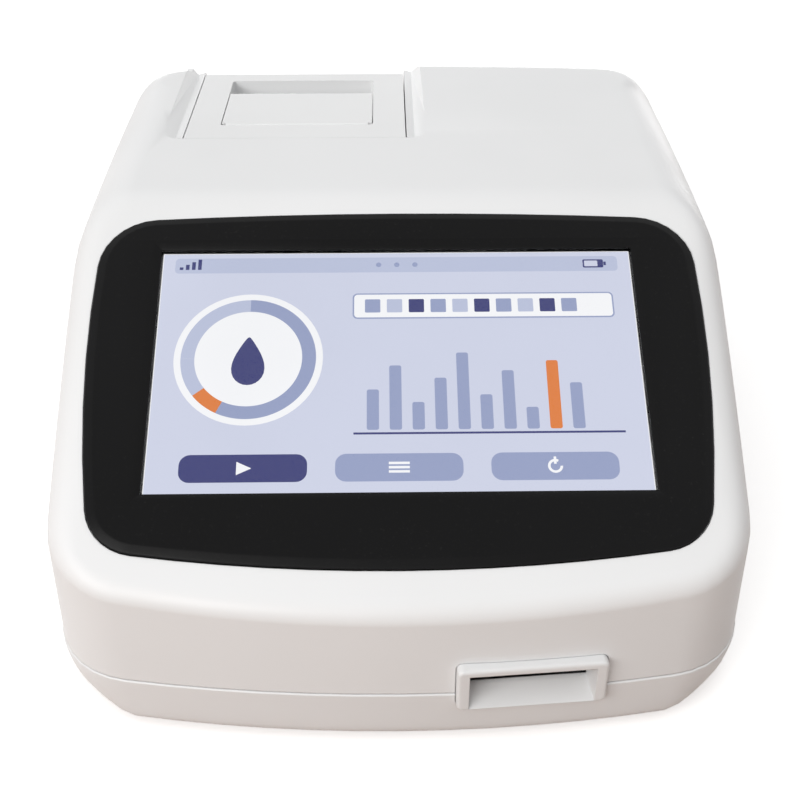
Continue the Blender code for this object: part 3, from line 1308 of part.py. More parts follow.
def make_tray():
    front = tray_front()
    half = TRAY_WIDTH / 2
    top = TRAY_BOTTOM + TRAY_THICKNESS
    tray = block("strip_tray", (TRAY_X - half, front, TRAY_BOTTOM), (TRAY_X + half, front + TRAY_LENGTH, top),
                 WHITE_PLASTIC, None, TRAY_NOSE_RADIUS, "front")
    start = front + PINION_FROM_FRONT - gear_radii(PINION_TEETH, RACK_MODULE)[1]
    rack_bottom = TRAY_BOTTOM + (TRAY_THICKNESS - RACK_HEIGHT) / 2
    rack = plate("tray_rack", rack_outline(start, front + TRAY_LENGTH - FIT_GAP), RACK_HEIGHT, None, None,
                 rack_bottom)
    channel_half = STRIP_CHANNEL_WIDTH / 2
    channel_start = front + STRIP_CHANNEL_START
    channel = block("strip_channel", (TRAY_X - channel_half, channel_start, top - STRIP_CHANNEL_DEPTH),
                    (TRAY_X + channel_half, channel_start + STRIP_CHANNEL_LENGTH, top + OVERRUN))
    notch_half = FINGER_NOTCH_WIDTH / 2
    notch = block("finger_notch", (TRAY_X - notch_half, channel_start, top - FINGER_NOTCH_DEPTH),
                  (TRAY_X + notch_half, channel_start + FINGER_NOTCH_LENGTH, top + OVERRUN), None, None,
                  STRIP_CHANNEL_DEPTH, "upright")
    tile_room = block("tile_room", *tile_corners(CLEARANCE, OVERRUN))
    cut(join(tray, rack), channel, notch, tile_room)
    tile = block("white_reference_tile", *tile_corners(0.0, 0.0), PAPER)
    return tray, tile


def tile_corners(grow, rise):
    """The reference tile behind the strip channel; grow and rise give the room cut for it."""
    top = TRAY_BOTTOM + TRAY_THICKNESS
    half = TILE_WIDTH / 2 + grow
    middle = (tray_front() + STRIP_CHANNEL_START + STRIP_CHANNEL_LENGTH + tray_front() + TRAY_LENGTH) / 2
    reach = TILE_LENGTH / 2 + grow
    return (TRAY_X - half, middle - reach, top - TILE_DEPTH - grow), (TRAY_X + half, middle + reach,
                                                                      top + rise)


def guide_front():
    return (PORT_FRAME @ Vector((0, PORT_DEPTH - PORT_PROUD, 0))).y + GUIDE_FRONT_GAP


def guide_sides():
    left = rack_lines()[1] - FIT_GAP
    right = TRAY_X + TRAY_WIDTH / 2 + GUIDE_SIDE_GAP
    return left, right


def make_tray_guide():
    left, right = guide_sides()
    floor_top = GUIDE_FLOOR + GUIDE_PLATE
    rib_top = TRAY_BOTTOM - CLEARANCE
    gib_bottom = TRAY_BOTTOM + TRAY_THICKNESS + CLEARANCE
    gib_top = gib_bottom + GUIDE_GIB_THICKNESS
    tray_left, tray_right = TRAY_X - TRAY_WIDTH / 2, TRAY_X + TRAY_WIDTH / 2
    left_reach, right_reach = tray_left + GUIDE_GIB_REACH, tray_right - GUIDE_GIB_REACH
    section = [
        (left - GUIDE_WALL, GUIDE_FLOOR), (right + GUIDE_WALL, GUIDE_FLOOR), (right + GUIDE_WALL, gib_top),
        (right_reach, gib_top), (right_reach, gib_bottom), (right, gib_bottom), (right, floor_top),
        (tray_right - GUIDE_GIB_REACH, floor_top), (tray_right - GUIDE_GIB_REACH, rib_top),
        (tray_right - GUIDE_GIB_REACH - GUIDE_RIB_WIDTH, rib_top),
        (tray_right - GUIDE_GIB_REACH - GUIDE_RIB_WIDTH, floor_top),
        (tray_left + GUIDE_GIB_REACH + GUIDE_RIB_WIDTH, floor_top),
        (tray_left + GUIDE_GIB_REACH + GUIDE_RIB_WIDTH, rib_top),
        (tray_left + GUIDE_GIB_REACH, rib_top), (tray_left + GUIDE_GIB_REACH, floor_top), (left, floor_top),
        (left, gib_bottom), (left_reach, gib_bottom), (left_reach, gib_top), (left - GUIDE_WALL, gib_top),
    ]
    front = guide_front()
    stand = Matrix.Translation((0, front + GUIDE_LENGTH, 0)) @ Matrix.Rotation(HALF_PI, 4, "X")
    guide = plate("tray_guide", section, GUIDE_LENGTH, BLACK_PLASTIC, stand)
    axis_x, axis_y = pinion_place()
    ear_half = TRAY_MOTOR_RADIUS + GUIDE_WALL / 2
    ear = block("motor_ear", (axis_x - ear_half, axis_y - ear_half, GUIDE_FLOOR),
                (left, axis_y + ear_half, floor_top))
    tip = gear_radii(PINION_TEETH, RACK_MODULE)[1] + FIT_GAP
    window = block("pinion_window", (axis_x - tip, axis_y - tip, floor_top),
                   (left + CLEARANCE, axis_y + tip, gib_bottom))
    shaft_hole = rod("drive_shaft_hole", DRIVE_SHAFT_RADIUS + FIT_GAP,
                     (axis_x, axis_y, GUIDE_FLOOR - OVERRUN),
                     (axis_x, axis_y, floor_top + OVERRUN), segments=SMALL_SEGMENTS)
    cut(join(guide, ear), window, shaft_hole)
    return guide


def guide_posts():
    left, right = guide_sides()
    ys = (guide_front() + GUIDE_POST_INSET_Y, guide_front() + GUIDE_LENGTH - GUIDE_POST_INSET_Y)
    xs = (left + GUIDE_POST_INSET_X, right - GUIDE_POST_INSET_X)
    return [
        rod(f"guide_post_{index}", GUIDE_POST_RADIUS, (x, y, LOWER_FLOOR - WALL / 2),
            (x, y, GUIDE_FLOOR - CLEARANCE), segments=SMALL_SEGMENTS)
        for index, (x, y) in enumerate((x, y) for y in ys for x in xs)
    ]


def make_tray_drive():
    x, y = pinion_place()
    motor_top = GUIDE_FLOOR - CLEARANCE
    motor = rod("tray_motor", TRAY_MOTOR_RADIUS, (x, y, motor_top - TRAY_MOTOR_LENGTH), (x, y, motor_top),
                STEEL)
    well = rod("tray_motor_bore", DRIVE_SHAFT_RADIUS + CLEARANCE,
               (x, y, motor_top - DRIVE_SHAFT_SINK - CLEARANCE),
               (x, y, motor_top + OVERRUN), segments=SMALL_SEGMENTS)
    cut(motor, well)
    bottom = TRAY_BOTTOM + (TRAY_THICKNESS - PINION_HEIGHT) / 2
    seat = Matrix.Translation((x, y, bottom))
    pinion = plate("tray_pinion", gear_outline(PINION_TEETH, RACK_MODULE), PINION_HEIGHT, ACETAL, seat)
    shaft = rod("tray_drive_shaft", DRIVE_SHAFT_RADIUS, (x, y, motor_top - DRIVE_SHAFT_SINK),
                (x, y, bottom + PINION_HEIGHT), segments=SMALL_SEGMENTS)
    return join(pinion, shaft)


def make_optical_head():
    left, right = guide_sides()
    low = TRAY_BOTTOM + TRAY_THICKNESS + GUIDE_GIB_THICKNESS + 2 * CLEARANCE
    high = low + OPTIC_HEIGHT
    front = tray_front() + OPTIC_FROM_FRONT
    rear = front + OPTIC_LENGTH
    head = block("optical_head", (left - GUIDE_WALL, front, low), (right + GUIDE_WALL, rear, high),
                 BLACK_PLASTIC)
    hollow = block("optical_hollow", (left, front + OPTIC_WALL, low + LENS_THICKNESS + OPTIC_WALL),
                   (right, rear - OPTIC_WALL, high + OVERRUN))
    x, y = TRAY_X, front + OPTIC_LENGTH / 2
    bore = rod("optical_bore", OPTIC_BORE_RADIUS, (x, y, low - OVERRUN), (x, y, high))
    cut(head, hollow, bore)
    rod("optical_lens", OPTIC_BORE_RADIUS - CLEARANCE, (x, y, low + CLEARANCE),
        (x, y, low + CLEARANCE + LENS_THICKNESS), GLASS)
    block("sensor_board", (left - GUIDE_WALL, front, high + CLEARANCE),
          (right + GUIDE_WALL, rear, high + CLEARANCE + PCB_THICKNESS), BOARD_GREEN)
    size = SENSOR_BLOCK_SIZE
    base = GUIDE_FLOOR + GUIDE_PLATE + CLEARANCE
    stop_y = guide_front() + GUIDE_LENGTH - size
    block("tray_home_sensor", (TRAY_X - size / 2, stop_y, base),
          (TRAY_X + size / 2, stop_y + size, base + size), BLACK_PLASTIC)


# Main board, rear plate and sockets

def plate_face():
    """Y of the rear plate's outer face, just inside the bowed rear wall at the plate's ends."""
    half = REAR_PLATE_WIDTH / 2
    bow = REAR_BOW_RADIUS - math.sqrt(REAR_BOW_RADIUS**2 - half**2)
    return REAR_Y - bow - REAR_PLATE_INSET


def rear_cutters(shell):
    """The opening that shows the rear plate, and the room that the plate slides into."""
    half, low = REAR_PLATE_WIDTH / 2, REAR_PLATE_BOTTOM
    high = low + REAR_PLATE_HEIGHT
    face = plate_face()
    rim = REAR_PLATE_FRAME
    opening = block(f"rear_opening_{shell}", (rim - half, face - OVERRUN, low + rim),
                    (half - rim, REAR_Y + OVERRUN, high - rim))
    room = block(f"rear_plate_room_{shell}", (-half - CLEARANCE, face - 3 * OVERRUN, low - CLEARANCE),
                 (half + CLEARANCE, face + CLEARANCE, high + CLEARANCE))
    return opening, room


def board_top():
    return BOARD_HEIGHT + PCB_THICKNESS


def board_rear():
    return plate_face() - REAR_PLATE_THICKNESS - FIT_GAP


def board_bosses():
    rear = board_rear()
    bosses = []
    for index in range(CORNERS):
        x = (BOARD_WIDTH / 2 - BOARD_BOSS_INSET) * (1 if index % 2 else -1)
        y = rear - (BOARD_BOSS_INSET if index < 2 else BOARD_DEPTH - BOARD_BOSS_INSET)
        bosses.append(rod(f"board_boss_{index}", BOARD_BOSS_RADIUS, (x, y, LOWER_FLOOR - WALL / 2),
                          (x, y, BOARD_HEIGHT - CLEARANCE), segments=SMALL_SEGMENTS))
    return bosses


def socket_box(name, x, width, depth, height, material=None, proud=0.0, grow=0.0):
    """A box on the board's rear edge whose outer face stands proud of the rear plate."""
    low = board_top() + CLEARANCE
    face = plate_face() + proud
    return block(name, (x - width / 2 - grow, face - depth, low - grow),
                 (x + width / 2 + grow, face + grow, low + height + grow), material)


def make_rear_group():
    face = plate_face()
    rear_panel = block("rear_panel", (-REAR_PLATE_WIDTH / 2, face - REAR_PLATE_THICKNESS, REAR_PLATE_BOTTOM),
                       (REAR_PLATE_WIDTH / 2, face, REAR_PLATE_BOTTOM + REAR_PLATE_HEIGHT), GREY_PLASTIC)
    block("main_board", (-BOARD_WIDTH / 2, board_rear() - BOARD_DEPTH, BOARD_HEIGHT),
          (BOARD_WIDTH / 2, board_rear(), board_top()),
          BOARD_GREEN)
    low = board_top() + CLEARANCE
    for index in range(USB_COUNT):
        x = USB_X + index * USB_SPACING
        usb = socket_box(f"usb_socket_{index + 1}", x, USB_WIDTH, USB_DEPTH, USB_HEIGHT, STEEL, CLEARANCE)
        inner_x, wall = USB_WIDTH / 2 - USB_WALL, USB_WALL
        mouth_low, mouth_high = low + wall, low + USB_HEIGHT - wall
        mouth = block(f"usb_mouth_{index}", (x - inner_x, face - USB_DEPTH + 2 * wall, mouth_low),
                      (x + inner_x, face + OVERRUN, mouth_high))
        tongue = block(f"usb_tongue_{index}", (x - inner_x + wall, face - USB_DEPTH + wall,
                                               mouth_high - wall - USB_TONGUE),
                       (x + inner_x - wall, face - wall, mouth_high - wall))
        join(cut(usb, mouth), tongue)
        cut(rear_panel, socket_box(f"usb_hole_{index}", x, USB_WIDTH, USB_DEPTH, USB_HEIGHT, None, OVERRUN,
                                   CLEARANCE))
    make_serial_socket(rear_panel, low)
    make_power_inlet(rear_panel, low)
    make_switch(rear_panel)
    make_board_parts(low)


def make_serial_socket(rear_panel, low):
    face = plate_face()
    back = face - REAR_PLATE_THICKNESS - CLEARANCE
    middle = low + SERIAL_HEIGHT / 2
    body = block("serial_socket", (SERIAL_X - SERIAL_WIDTH / 2, back - SERIAL_DEPTH, low),
                 (SERIAL_X + SERIAL_WIDTH / 2, back, low + SERIAL_HEIGHT), STEEL)

    def trapezoid(grow):
        wide, high = SERIAL_SHELL_WIDTH / 2 + grow, SERIAL_SHELL_HEIGHT / 2 + grow
        slant = SERIAL_SHELL_HEIGHT / 6
        return [(-wide + slant, -high), (wide - slant, -high), (wide, high), (-wide, high)]

    stand = Matrix.Translation((SERIAL_X, back, middle)) @ Matrix.Rotation(HALF_PI, 4, "X")
    reach = REAR_PLATE_THICKNESS + CLEARANCE + SERIAL_SHELL_DEPTH
    shell = plate("serial_shell", trapezoid(0.0), reach + FIT_GAP, None, stand, -reach)
    hollow = plate("serial_hollow", trapezoid(-SERIAL_SHELL_WALL), reach + OVERRUN, None, stand,
                   -reach - OVERRUN)
    core = plate("serial_core", trapezoid(-SERIAL_SHELL_WALL - SERIAL_CORE_GAP), reach, None, stand,
                 FIT_GAP - reach)
    hole = plate("serial_hole", trapezoid(CLEARANCE), 2 * reach, None, stand, -2 * reach)
    cut(rear_panel, hole)
    join(cut(join(body, shell), hollow), core)


def make_power_inlet(rear_panel, low):
    face = plate_face()
    middle = low + POWER_HEIGHT / 2
    inlet = socket_box("power_inlet", POWER_X, POWER_WIDTH, POWER_DEPTH, POWER_HEIGHT, BLACK_PLASTIC,
                       CLEARANCE)
    bore = rod("power_bore", POWER_BORE_RADIUS, (POWER_X, face - POWER_BORE_DEPTH, middle),
               (POWER_X, face + OVERRUN, middle))
    pin = rod("power_pin", POWER_PIN_RADIUS, (POWER_X, face - POWER_BORE_DEPTH - FIT_GAP, middle),
              (POWER_X, face - FIT_GAP, middle), segments=SMALL_SEGMENTS)
    join(cut(inlet, bore), pin)
    cut(rear_panel, socket_box("power_hole", POWER_X, POWER_WIDTH, POWER_DEPTH, POWER_HEIGHT, None, OVERRUN,
                               CLEARANCE))


def make_switch(rear_panel):
    face = plate_face()
    x, z = SWITCH_X, SWITCH_HEIGHT_MID
    half_x, half_z = SWITCH_WIDTH / 2, SWITCH_HEIGHT / 2
    switch = block("power_switch", (x - half_x, face - SWITCH_DEPTH, z - half_z),
                   (x + half_x, face + CLEARANCE, z + half_z), BLACK_PLASTIC)
    flange = block("switch_flange", (x - half_x - SWITCH_FLANGE, face + CLEARANCE,
                                     z - half_z - SWITCH_FLANGE),
                   (x + half_x + SWITCH_FLANGE, face + CLEARANCE + SWITCH_FLANGE_THICKNESS,
                    z + half_z + SWITCH_FLANGE))
    inner_x, inner_z = half_x - SWITCH_WALL, half_z - SWITCH_WALL
    pocket = block("switch_pocket", (x - inner_x, face - SWITCH_POCKET_DEPTH, z - inner_z),
                   (x + inner_x, face + OVERRUN, z + inner_z))
    cut(join(switch, flange), pocket)
    hole = block("switch_hole", (x - half_x - CLEARANCE, face - OVERRUN, z - half_z - CLEARANCE),
                 (x + half_x + CLEARANCE, face + OVERRUN, z + half_z + CLEARANCE))
    cut(rear_panel, hole)


def rocker_axis():
    return SWITCH_X, plate_face() - ROCKER_PIVOT_DEPTH, SWITCH_HEIGHT_MID


def make_rocker():
    """A rocker with two sloping faces, which turns about an upright axis in the switch's pocket."""
    x, y, z = rocker_axis()
    half_x = SWITCH_WIDTH / 2 - SWITCH_WALL - 2 * ROCKER_GAP
    half_z = SWITCH_HEIGHT / 2 - SWITCH_WALL - ROCKER_GAP
    proud = ROCKER_PIVOT_DEPTH + SWITCH_FLANGE_THICKNESS + CLEARANCE
    rise = half_x * math.tan(ROCKER_TILT)
    outline = [
        (-half_x, proud + rise), (0.0, proud), (half_x, proud + rise),
        (half_x - 2 * rise, -ROCKER_PIVOT_DEPTH), (2 * rise - half_x, -ROCKER_PIVOT_DEPTH),
    ]
    stand = Matrix.Translation((x, y, z)) @ Matrix.Rotation(-ROCKER_TILT, 4, "Z")
    return plate("power_rocker", outline[::-1], 2 * half_z, BLACK_PLASTIC, stand, -half_z)


def make_board_parts(low):
    rear = board_rear()
    chip_y = rear - BOARD_DEPTH / 2
    block("processor_chip", (-CHIP_SIZE / 2, chip_y - CHIP_SIZE / 2, low),
          (CHIP_SIZE / 2, chip_y + CHIP_SIZE / 2, low + CHIP_HEIGHT), BLACK_PLASTIC)
    rod("buzzer", BUZZER_RADIUS, (BOARD_WIDTH / 4, chip_y, low),
        (BOARD_WIDTH / 4, chip_y, low + BUZZER_HEIGHT), BLACK_PLASTIC)
    make_ribbon(low)


def make_ribbon(low):
    """The flat cable from the back of the screen down to the main board."""
    start = SCREEN_FRAME @ Vector(
        (0, LCD_START + LCD_HEIGHT / 2 - 2 * RIBBON_BEND, bracket_top() - CLEARANCE - RIBBON_THICKNESS / 2)
    )
    slope = Vector((math.cos(SCREEN_TILT), math.sin(SCREEN_TILT)))
    bend = RIBBON_BEND
    first = Vector((start.y, start.z))
    end = Vector((board_rear() - BOARD_DEPTH + BOARD_BOSS_INSET, low + RIBBON_THICKNESS / 2))
    turn = first + slope * 3 * bend
    path = [
        first, turn, turn + Vector((bend, 0)), Vector((turn.x + 2 * bend, turn.y - bend)),
        Vector((end.x - 3 * bend, end.y + 2 * bend)), Vector((end.x - 2 * bend, end.y + bend / 2)),
        Vector((end.x - bend, end.y)), end,
    ]
    upper, under = [], []
    for index, point in enumerate(path):
        ahead = path[min(index + 1, len(path) - 1)] - path[max(index - 1, 0)]
        normal = Vector((-ahead.y, ahead.x)).normalized() * RIBBON_THICKNESS / 2
        upper.append(tuple(point + normal))
        under.append(tuple(point - normal))
    side = Matrix.Rotation(HALF_PI, 4, "Z") @ Matrix.Rotation(HALF_PI, 4, "X")
    plate("display_ribbon", upper + under[::-1], RIBBON_WIDTH, BOARD_GREEN, side, -RIBBON_WIDTH / 2)


def build():
    make_upper_housing()
    make_lower_housing()
    for index in range(CORNERS):
        case_screw(index)
        foot_shape(index)
    make_screen_group()
    make_port_bezel()
    tray, tile = make_tray()
    make_tray_guide()
    pinion = make_tray_drive()
    make_optical_head()
    make_rear_group()
    rocker = make_rocker()
    lid = make_lid()
    paddle = make_paddle()
    paddle_pin = paddle_pin_shape()
    roller, shaft, gear = make_platen()
    printer_gear = make_printer_gear()
    make_printer_mechanism()
    roll = make_paper_roll()
    make_paper_bucket()

    def in_lid(back, height, across=0.0):
        return LID_FRAME @ Vector((across, back, height))

    pivot("lid_hinge_axis", in_lid(HINGE_FROM_FRONT, -HINGE_DROP), lid, paddle_pin)
    pivot("paddle_axis", in_lid(*paddle_axis()), paddle)
    pivot("platen_axis", in_lid(PLATEN_FROM_FRONT, -PLATEN_DROP), roller, shaft, gear)
    pivot("printer_gear_axis", in_lid(*printer_gear_place()), printer_gear)
    pivot("paper_roll_axis", in_lid(ROLL_FROM_FRONT, -roll_drop()), roll)
    pivot("tray_slide_axis", (TRAY_X, tray_front(), TRAY_BOTTOM), tray, tile)
    pivot("pinion_axis", (*pinion_place(), TRAY_BOTTOM), pinion)
    pivot("rocker_axis", rocker_axis(), rocker)


build()
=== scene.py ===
"""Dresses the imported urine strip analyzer.

Gives every piece its finish, draws the picture on its screen, and sets up the camera, floor, lights and room.
"""

import math

import bmesh
import bpy
from mathutils import Matrix, Vector


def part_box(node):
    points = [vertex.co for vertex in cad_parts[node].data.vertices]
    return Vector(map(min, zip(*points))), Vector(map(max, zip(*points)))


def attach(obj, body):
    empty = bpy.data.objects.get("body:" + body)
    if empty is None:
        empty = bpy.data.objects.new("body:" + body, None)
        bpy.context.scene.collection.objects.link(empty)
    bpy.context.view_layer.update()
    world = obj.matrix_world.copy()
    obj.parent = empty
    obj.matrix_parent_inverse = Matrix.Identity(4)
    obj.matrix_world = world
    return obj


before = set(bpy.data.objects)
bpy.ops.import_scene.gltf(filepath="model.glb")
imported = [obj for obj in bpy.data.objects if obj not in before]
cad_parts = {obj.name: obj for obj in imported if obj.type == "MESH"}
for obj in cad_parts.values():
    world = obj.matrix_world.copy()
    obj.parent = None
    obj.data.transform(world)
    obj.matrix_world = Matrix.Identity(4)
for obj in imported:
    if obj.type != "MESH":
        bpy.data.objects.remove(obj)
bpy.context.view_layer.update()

MM = 0.001
OPAQUE = 1.0
WHITE = (1.0, 1.0, 1.0, OPAQUE)
BLACK = (0.0, 0.0, 0.0, OPAQUE)

# Camera, fitted to the screen's and the lid's corners in the photograph
CAMERA_PLACE = (-0.003594, -0.369253, 0.304245)
CAMERA_LENS = 54.0
CAMERA_SENSOR = 36.0
CAMERA_PITCH = math.radians(35.844)
CAMERA_YAW = math.radians(0.768)

# Floor, room and lamps, in metres and watts
FLOOR_REACH = 6.0
FLOOR_WHITE = (0.90, 0.90, 0.90, OPAQUE)
FLOOR_TAN = (0.24, 0.11, 0.045, OPAQUE)
FLOOR_LIFT = 0.39
ROOM_ABOVE = 1.03
ROOM_ROUND = 0.02
ROOM_SEEN = 1.0
WINDOW = {"place": (-1.10, -1.45, 1.00), "aim": (0.0, 0.0, 0.05), "size": (1.6, 0.9), "power": 26.0,
          "colour": (1.0, 0.99, 0.975)}
REAR_FILL = {"place": (0.30, 1.40, 0.12), "aim": (0.0, 0.10, 0.06), "size": (1.8, 0.18), "power": 4.0,
             "colour": (1.0, 0.99, 0.98)}

# The screen's plane: u to the right, v up the slope, w outward
SCREEN_ORIGIN = (0.0, -0.12975, 0.0535)
SCREEN_TILT = math.radians(27.4)
SCREEN_FRAME = Matrix.Translation(SCREEN_ORIGIN) @ Matrix.Rotation(SCREEN_TILT, 4, "X")

# Where the picture lies in that plane, in millimetres, and the thickness and spacing of its flat shapes
PICTURE_HALF_WIDTH = 77.1
PICTURE_LOW = 40.2
PICTURE_HIGH = 126.1
PICTURE_BACK = -1.97
PICTURE_SHEET = 0.02
PICTURE_STEP = 0.035

# Smooth shading of the nodes
WELD_DISTANCE = 2e-5
SHARP_ANGLE = math.radians(32.0)

# Scales of the noise and wave patterns: the higher, the finer
SHINE_CLOUDS = 26.0
METAL_CLOUDS = 60.0
WEAR_PATCHES = 160.0
DUST_SPECKS = 900.0
DUST_VEIL = 30.0
BOARD_TRACKS = 210.0
BOARD_PADS = 340.0
RIBBON_LINES = 300.0
PAPER_TURNS = 700.0
PAPER_FIBRES = 3000.0
FINGER_MARKS = 55.0
LENS_HAZE = 700.0


def opaque(red, green, blue):
    return (red, green, blue, OPAQUE)


def linear(*colour):
    """Linear colour with full alpha from 0 to 255 display values."""
    def one(value):
        value /= 255
        return value / 12.92 if value <= 0.04045 else ((value + 0.055) / 1.055) ** 2.4
    return (*(one(value) for value in colour), OPAQUE)


def feed(tree, node, name, value):
    """Sets an input by name or number; a value that is a socket is linked."""
    socket = node.inputs[int(name) if name.isdigit() else name]
    if isinstance(value, bpy.types.NodeSocket):
        tree.links.new(value, socket)
    else:
        socket.default_value = value


def add(tree, kind, settings=None, **values):
    """A node with its properties and its input values."""
    node = tree.nodes.new(kind)
    for name, value in (settings or {}).items():
        setattr(node, name, value)
    for name, value in values.items():
        feed(tree, node, name.replace("_", " "), value)
    return node


def calculate(tree, operation, *values):
    node = add(tree, "ShaderNodeMath", {"operation": operation})
    for index, value in enumerate(values):
        feed(tree, node, str(index), value)
    return node.outputs[0]


def ramp(tree, value, start, stop, low=0.0, high=1.0, curve="SMOOTHSTEP"):
    """Goes from low, where the value is at start, to high, where it is at stop."""
    node = add(tree, "ShaderNodeMapRange", {"interpolation_type": curve}, Value=value,
               From_Min=start, From_Max=stop, To_Min=low, To_Max=high)
    return node.outputs["Result"]


def mixed(tree, share, first, second):
    node = add(tree, "ShaderNodeMix", {"data_type": "RGBA"})
    for name, value in (("0", share), ("6", first), ("7", second)):
        feed(tree, node, name, value)
    return node.outputs[2]


def object_place(tree, stretch=(1.0, 1.0, 1.0)):
    place = tree.nodes.new("ShaderNodeTexCoord").outputs["Object"]
    return add(tree, "ShaderNodeMapping", Vector=place, Scale=stretch).outputs[0]


def noise(tree, place, scale, detail=2.0, roughness=0.5):
    node = add(tree, "ShaderNodeTexNoise", Vector=place, Scale=scale, Detail=detail, Roughness=roughness)
    return node.outputs["Fac"]


def new_group(name, inputs, outputs):
    """A node group: inputs are its float and colour values by name, outputs its kinds by name."""
    group = bpy.data.node_groups.new(name, "ShaderNodeTree")
    for label, value in inputs.items():
        kind = "NodeSocketColor" if isinstance(value, tuple) else "NodeSocketFloat"
        socket = group.interface.new_socket(name=label, in_out="INPUT", socket_type=kind)
        socket.default_value = value
    for label, kind in outputs.items():
        group.interface.new_socket(name=label, in_out="OUTPUT", socket_type=f"NodeSocket{kind}")
    return group, group.nodes.new("NodeGroupInput"), group.nodes.new("NodeGroupOutput")


def make_moulded_grain():
    """The fine spark texture of an injection mould, with a slow drift of its shine."""
    group, start, end = new_group(
        "moulded_grain", {"Grain Size": 2600.0, "Shine Low": 0.35, "Shine High": 0.45},
        {"Height": "Float", "Roughness": "Float"})
    place = object_place(group)
    fine = noise(group, place, start.outputs["Grain Size"], detail=3.0, roughness=0.6)
    slow = noise(group, place, SHINE_CLOUDS, detail=4.0)
    spark_share = 0.12
    spark = calculate(group, "MULTIPLY_ADD", fine, spark_share, slow)
    shine = ramp(group, spark, start=0.40, stop=0.72, low=start.outputs["Shine Low"],
                 high=start.outputs["Shine High"], curve="LINEAR")
    group.links.new(fine, end.inputs["Height"])
    group.links.new(shine, end.inputs["Roughness"])
    return group


def make_colour_drift():
    """A colour that wanders a little over the piece, with faint flow marks from moulding."""
    inputs = {"Colour": opaque(0.8, 0.8, 0.8), "Second Colour": opaque(0.7, 0.7, 0.7), "Drift Size": 9.0}
    group, start, end = new_group("colour_drift", inputs, {"Color": "Color"})
    place = object_place(group, stretch=(1.0, 0.6, 1.4))
    slow = noise(group, place, start.outputs["Drift Size"], detail=3.0)
    share = ramp(group, slow, start=0.35, stop=0.70)
    tone = mixed(group, share, start.outputs["Colour"], start.outputs["Second Colour"])
    group.links.new(tone, end.inputs["Color"])
    return group


def make_worn_edges():
    """Where handling has rubbed the edges, which also carry a painted highlight: 1 on such an edge, 0
    elsewhere, and the edge's softened normal.
    """
    group, start, end = new_group(
        "worn_and_highlit_edges", {"Edge Radius": 0.0005, "Wear": 0.4}, {"Mask": "Float", "Normal": "Vector"})
    bevel = add(group, "ShaderNodeBevel", {"samples": 6}, Radius=start.outputs["Edge Radius"])
    surface_normal = group.nodes.new("ShaderNodeNewGeometry").outputs["Normal"]
    along = add(group, "ShaderNodeVectorMath", {"operation": "DOT_PRODUCT"})
    group.links.new(bevel.outputs[0], along.inputs[0])
    group.links.new(surface_normal, along.inputs[1])
    edge = ramp(group, along.outputs["Value"], start=0.995, stop=0.80)
    patchy = ramp(group, noise(group, object_place(group), WEAR_PATCHES, detail=5.0), start=0.45, stop=0.62)
    rubbed_and_highlit = calculate(group, "MULTIPLY", calculate(group, "MULTIPLY", edge, patchy), start.outputs["Wear"])
    group.links.new(rubbed_and_highlit, end.inputs["Mask"])
    group.links.new(bevel.outputs[0], end.inputs["Normal"])
    return group


def make_settled_dust():
    """Fine dust on what faces up, in specks under a patchy veil."""
    group, start, end = new_group("settled_dust", {"Amount": 0.2}, {"Mask": "Float"})
    normal = group.nodes.new("ShaderNodeNewGeometry").outputs["Normal"]
    upward = add(group, "ShaderNodeSeparateXYZ", Vector=normal).outputs["Z"]
    place = object_place(group)
    specks = ramp(group, noise(group, place, DUST_SPECKS, detail=6.0, roughness=0.7), start=0.56, stop=0.74)
    veil = ramp(group, noise(group, place, DUST_VEIL, detail=3.0), start=0.30, stop=0.75, low=0.2)
    facing = ramp(group, upward, start=0.35, stop=0.95)
    laid = calculate(group, "MULTIPLY", calculate(group, "MULTIPLY", specks, veil), facing)
    group.links.new(calculate(group, "MULTIPLY", laid, start.outputs["Amount"]), end.inputs["Mask"])
    return group


def make_brushed_lines():
    """Long fine scratches of rolled and brushed sheet, along the X axis."""
    group, start, end = new_group(
        "brushed_lines", {"Line Size": 900.0, "Shine Low": 0.22, "Shine High": 0.42},
        {"Height": "Float", "Roughness": "Float"})
    place = object_place(group, stretch=(0.04, 1.0, 1.0))
    lines = noise(group, place, start.outputs["Line Size"], detail=4.0, roughness=0.7)
    cloud = noise(group, object_place(group), METAL_CLOUDS)
    line_share, cloud_share = 0.6, 0.4
    both = calculate(group, "ADD", calculate(group, "MULTIPLY", lines, line_share),
                     calculate(group, "MULTIPLY", cloud, cloud_share))
    shine = ramp(group, both, start=0.35, stop=0.65, low=start.outputs["Shine Low"],
                 high=start.outputs["Shine High"], curve="LINEAR")
    group.links.new(lines, end.inputs["Height"])
    group.links.new(shine, end.inputs["Roughness"])
    return group


MOULDED_GRAIN = make_moulded_grain()
COLOUR_DRIFT = make_colour_drift()
WORN_AND_HIGHLIT_EDGES = make_worn_edges()
SETTLED_DUST = make_settled_dust()
BRUSHED_LINES = make_brushed_lines()


def place_group(tree, group, **values):
    return add(tree, "ShaderNodeGroup", {"node_tree": group}, **values)


def new_finish(name, **constants):
    """A material with one Principled shader, whose fixed values sit on its own sockets."""
    material = bpy.data.materials.new(name)
    material.use_nodes = True
    tree = material.node_tree
    shader = tree.nodes["Principled BSDF"]
    for label, value in constants.items():
        shader.inputs[label.replace("_", " ")].default_value = value
    return material, tree, shader


def bump(tree, shader, height, depth, normal=None):
    node = add(tree, "ShaderNodeBump", Distance=depth, Height=height)
    if normal is not None:
        tree.links.new(normal, node.inputs["Normal"])
    tree.links.new(node.outputs[0], shader.inputs["Normal"])


DUST_COLOUR = opaque(0.62, 0.60, 0.57)


def dusted(tree, tone, amount):
    dusty = place_group(tree, SETTLED_DUST, Amount=amount)
    return mixed(tree, dusty.outputs["Mask"], tone, DUST_COLOUR)


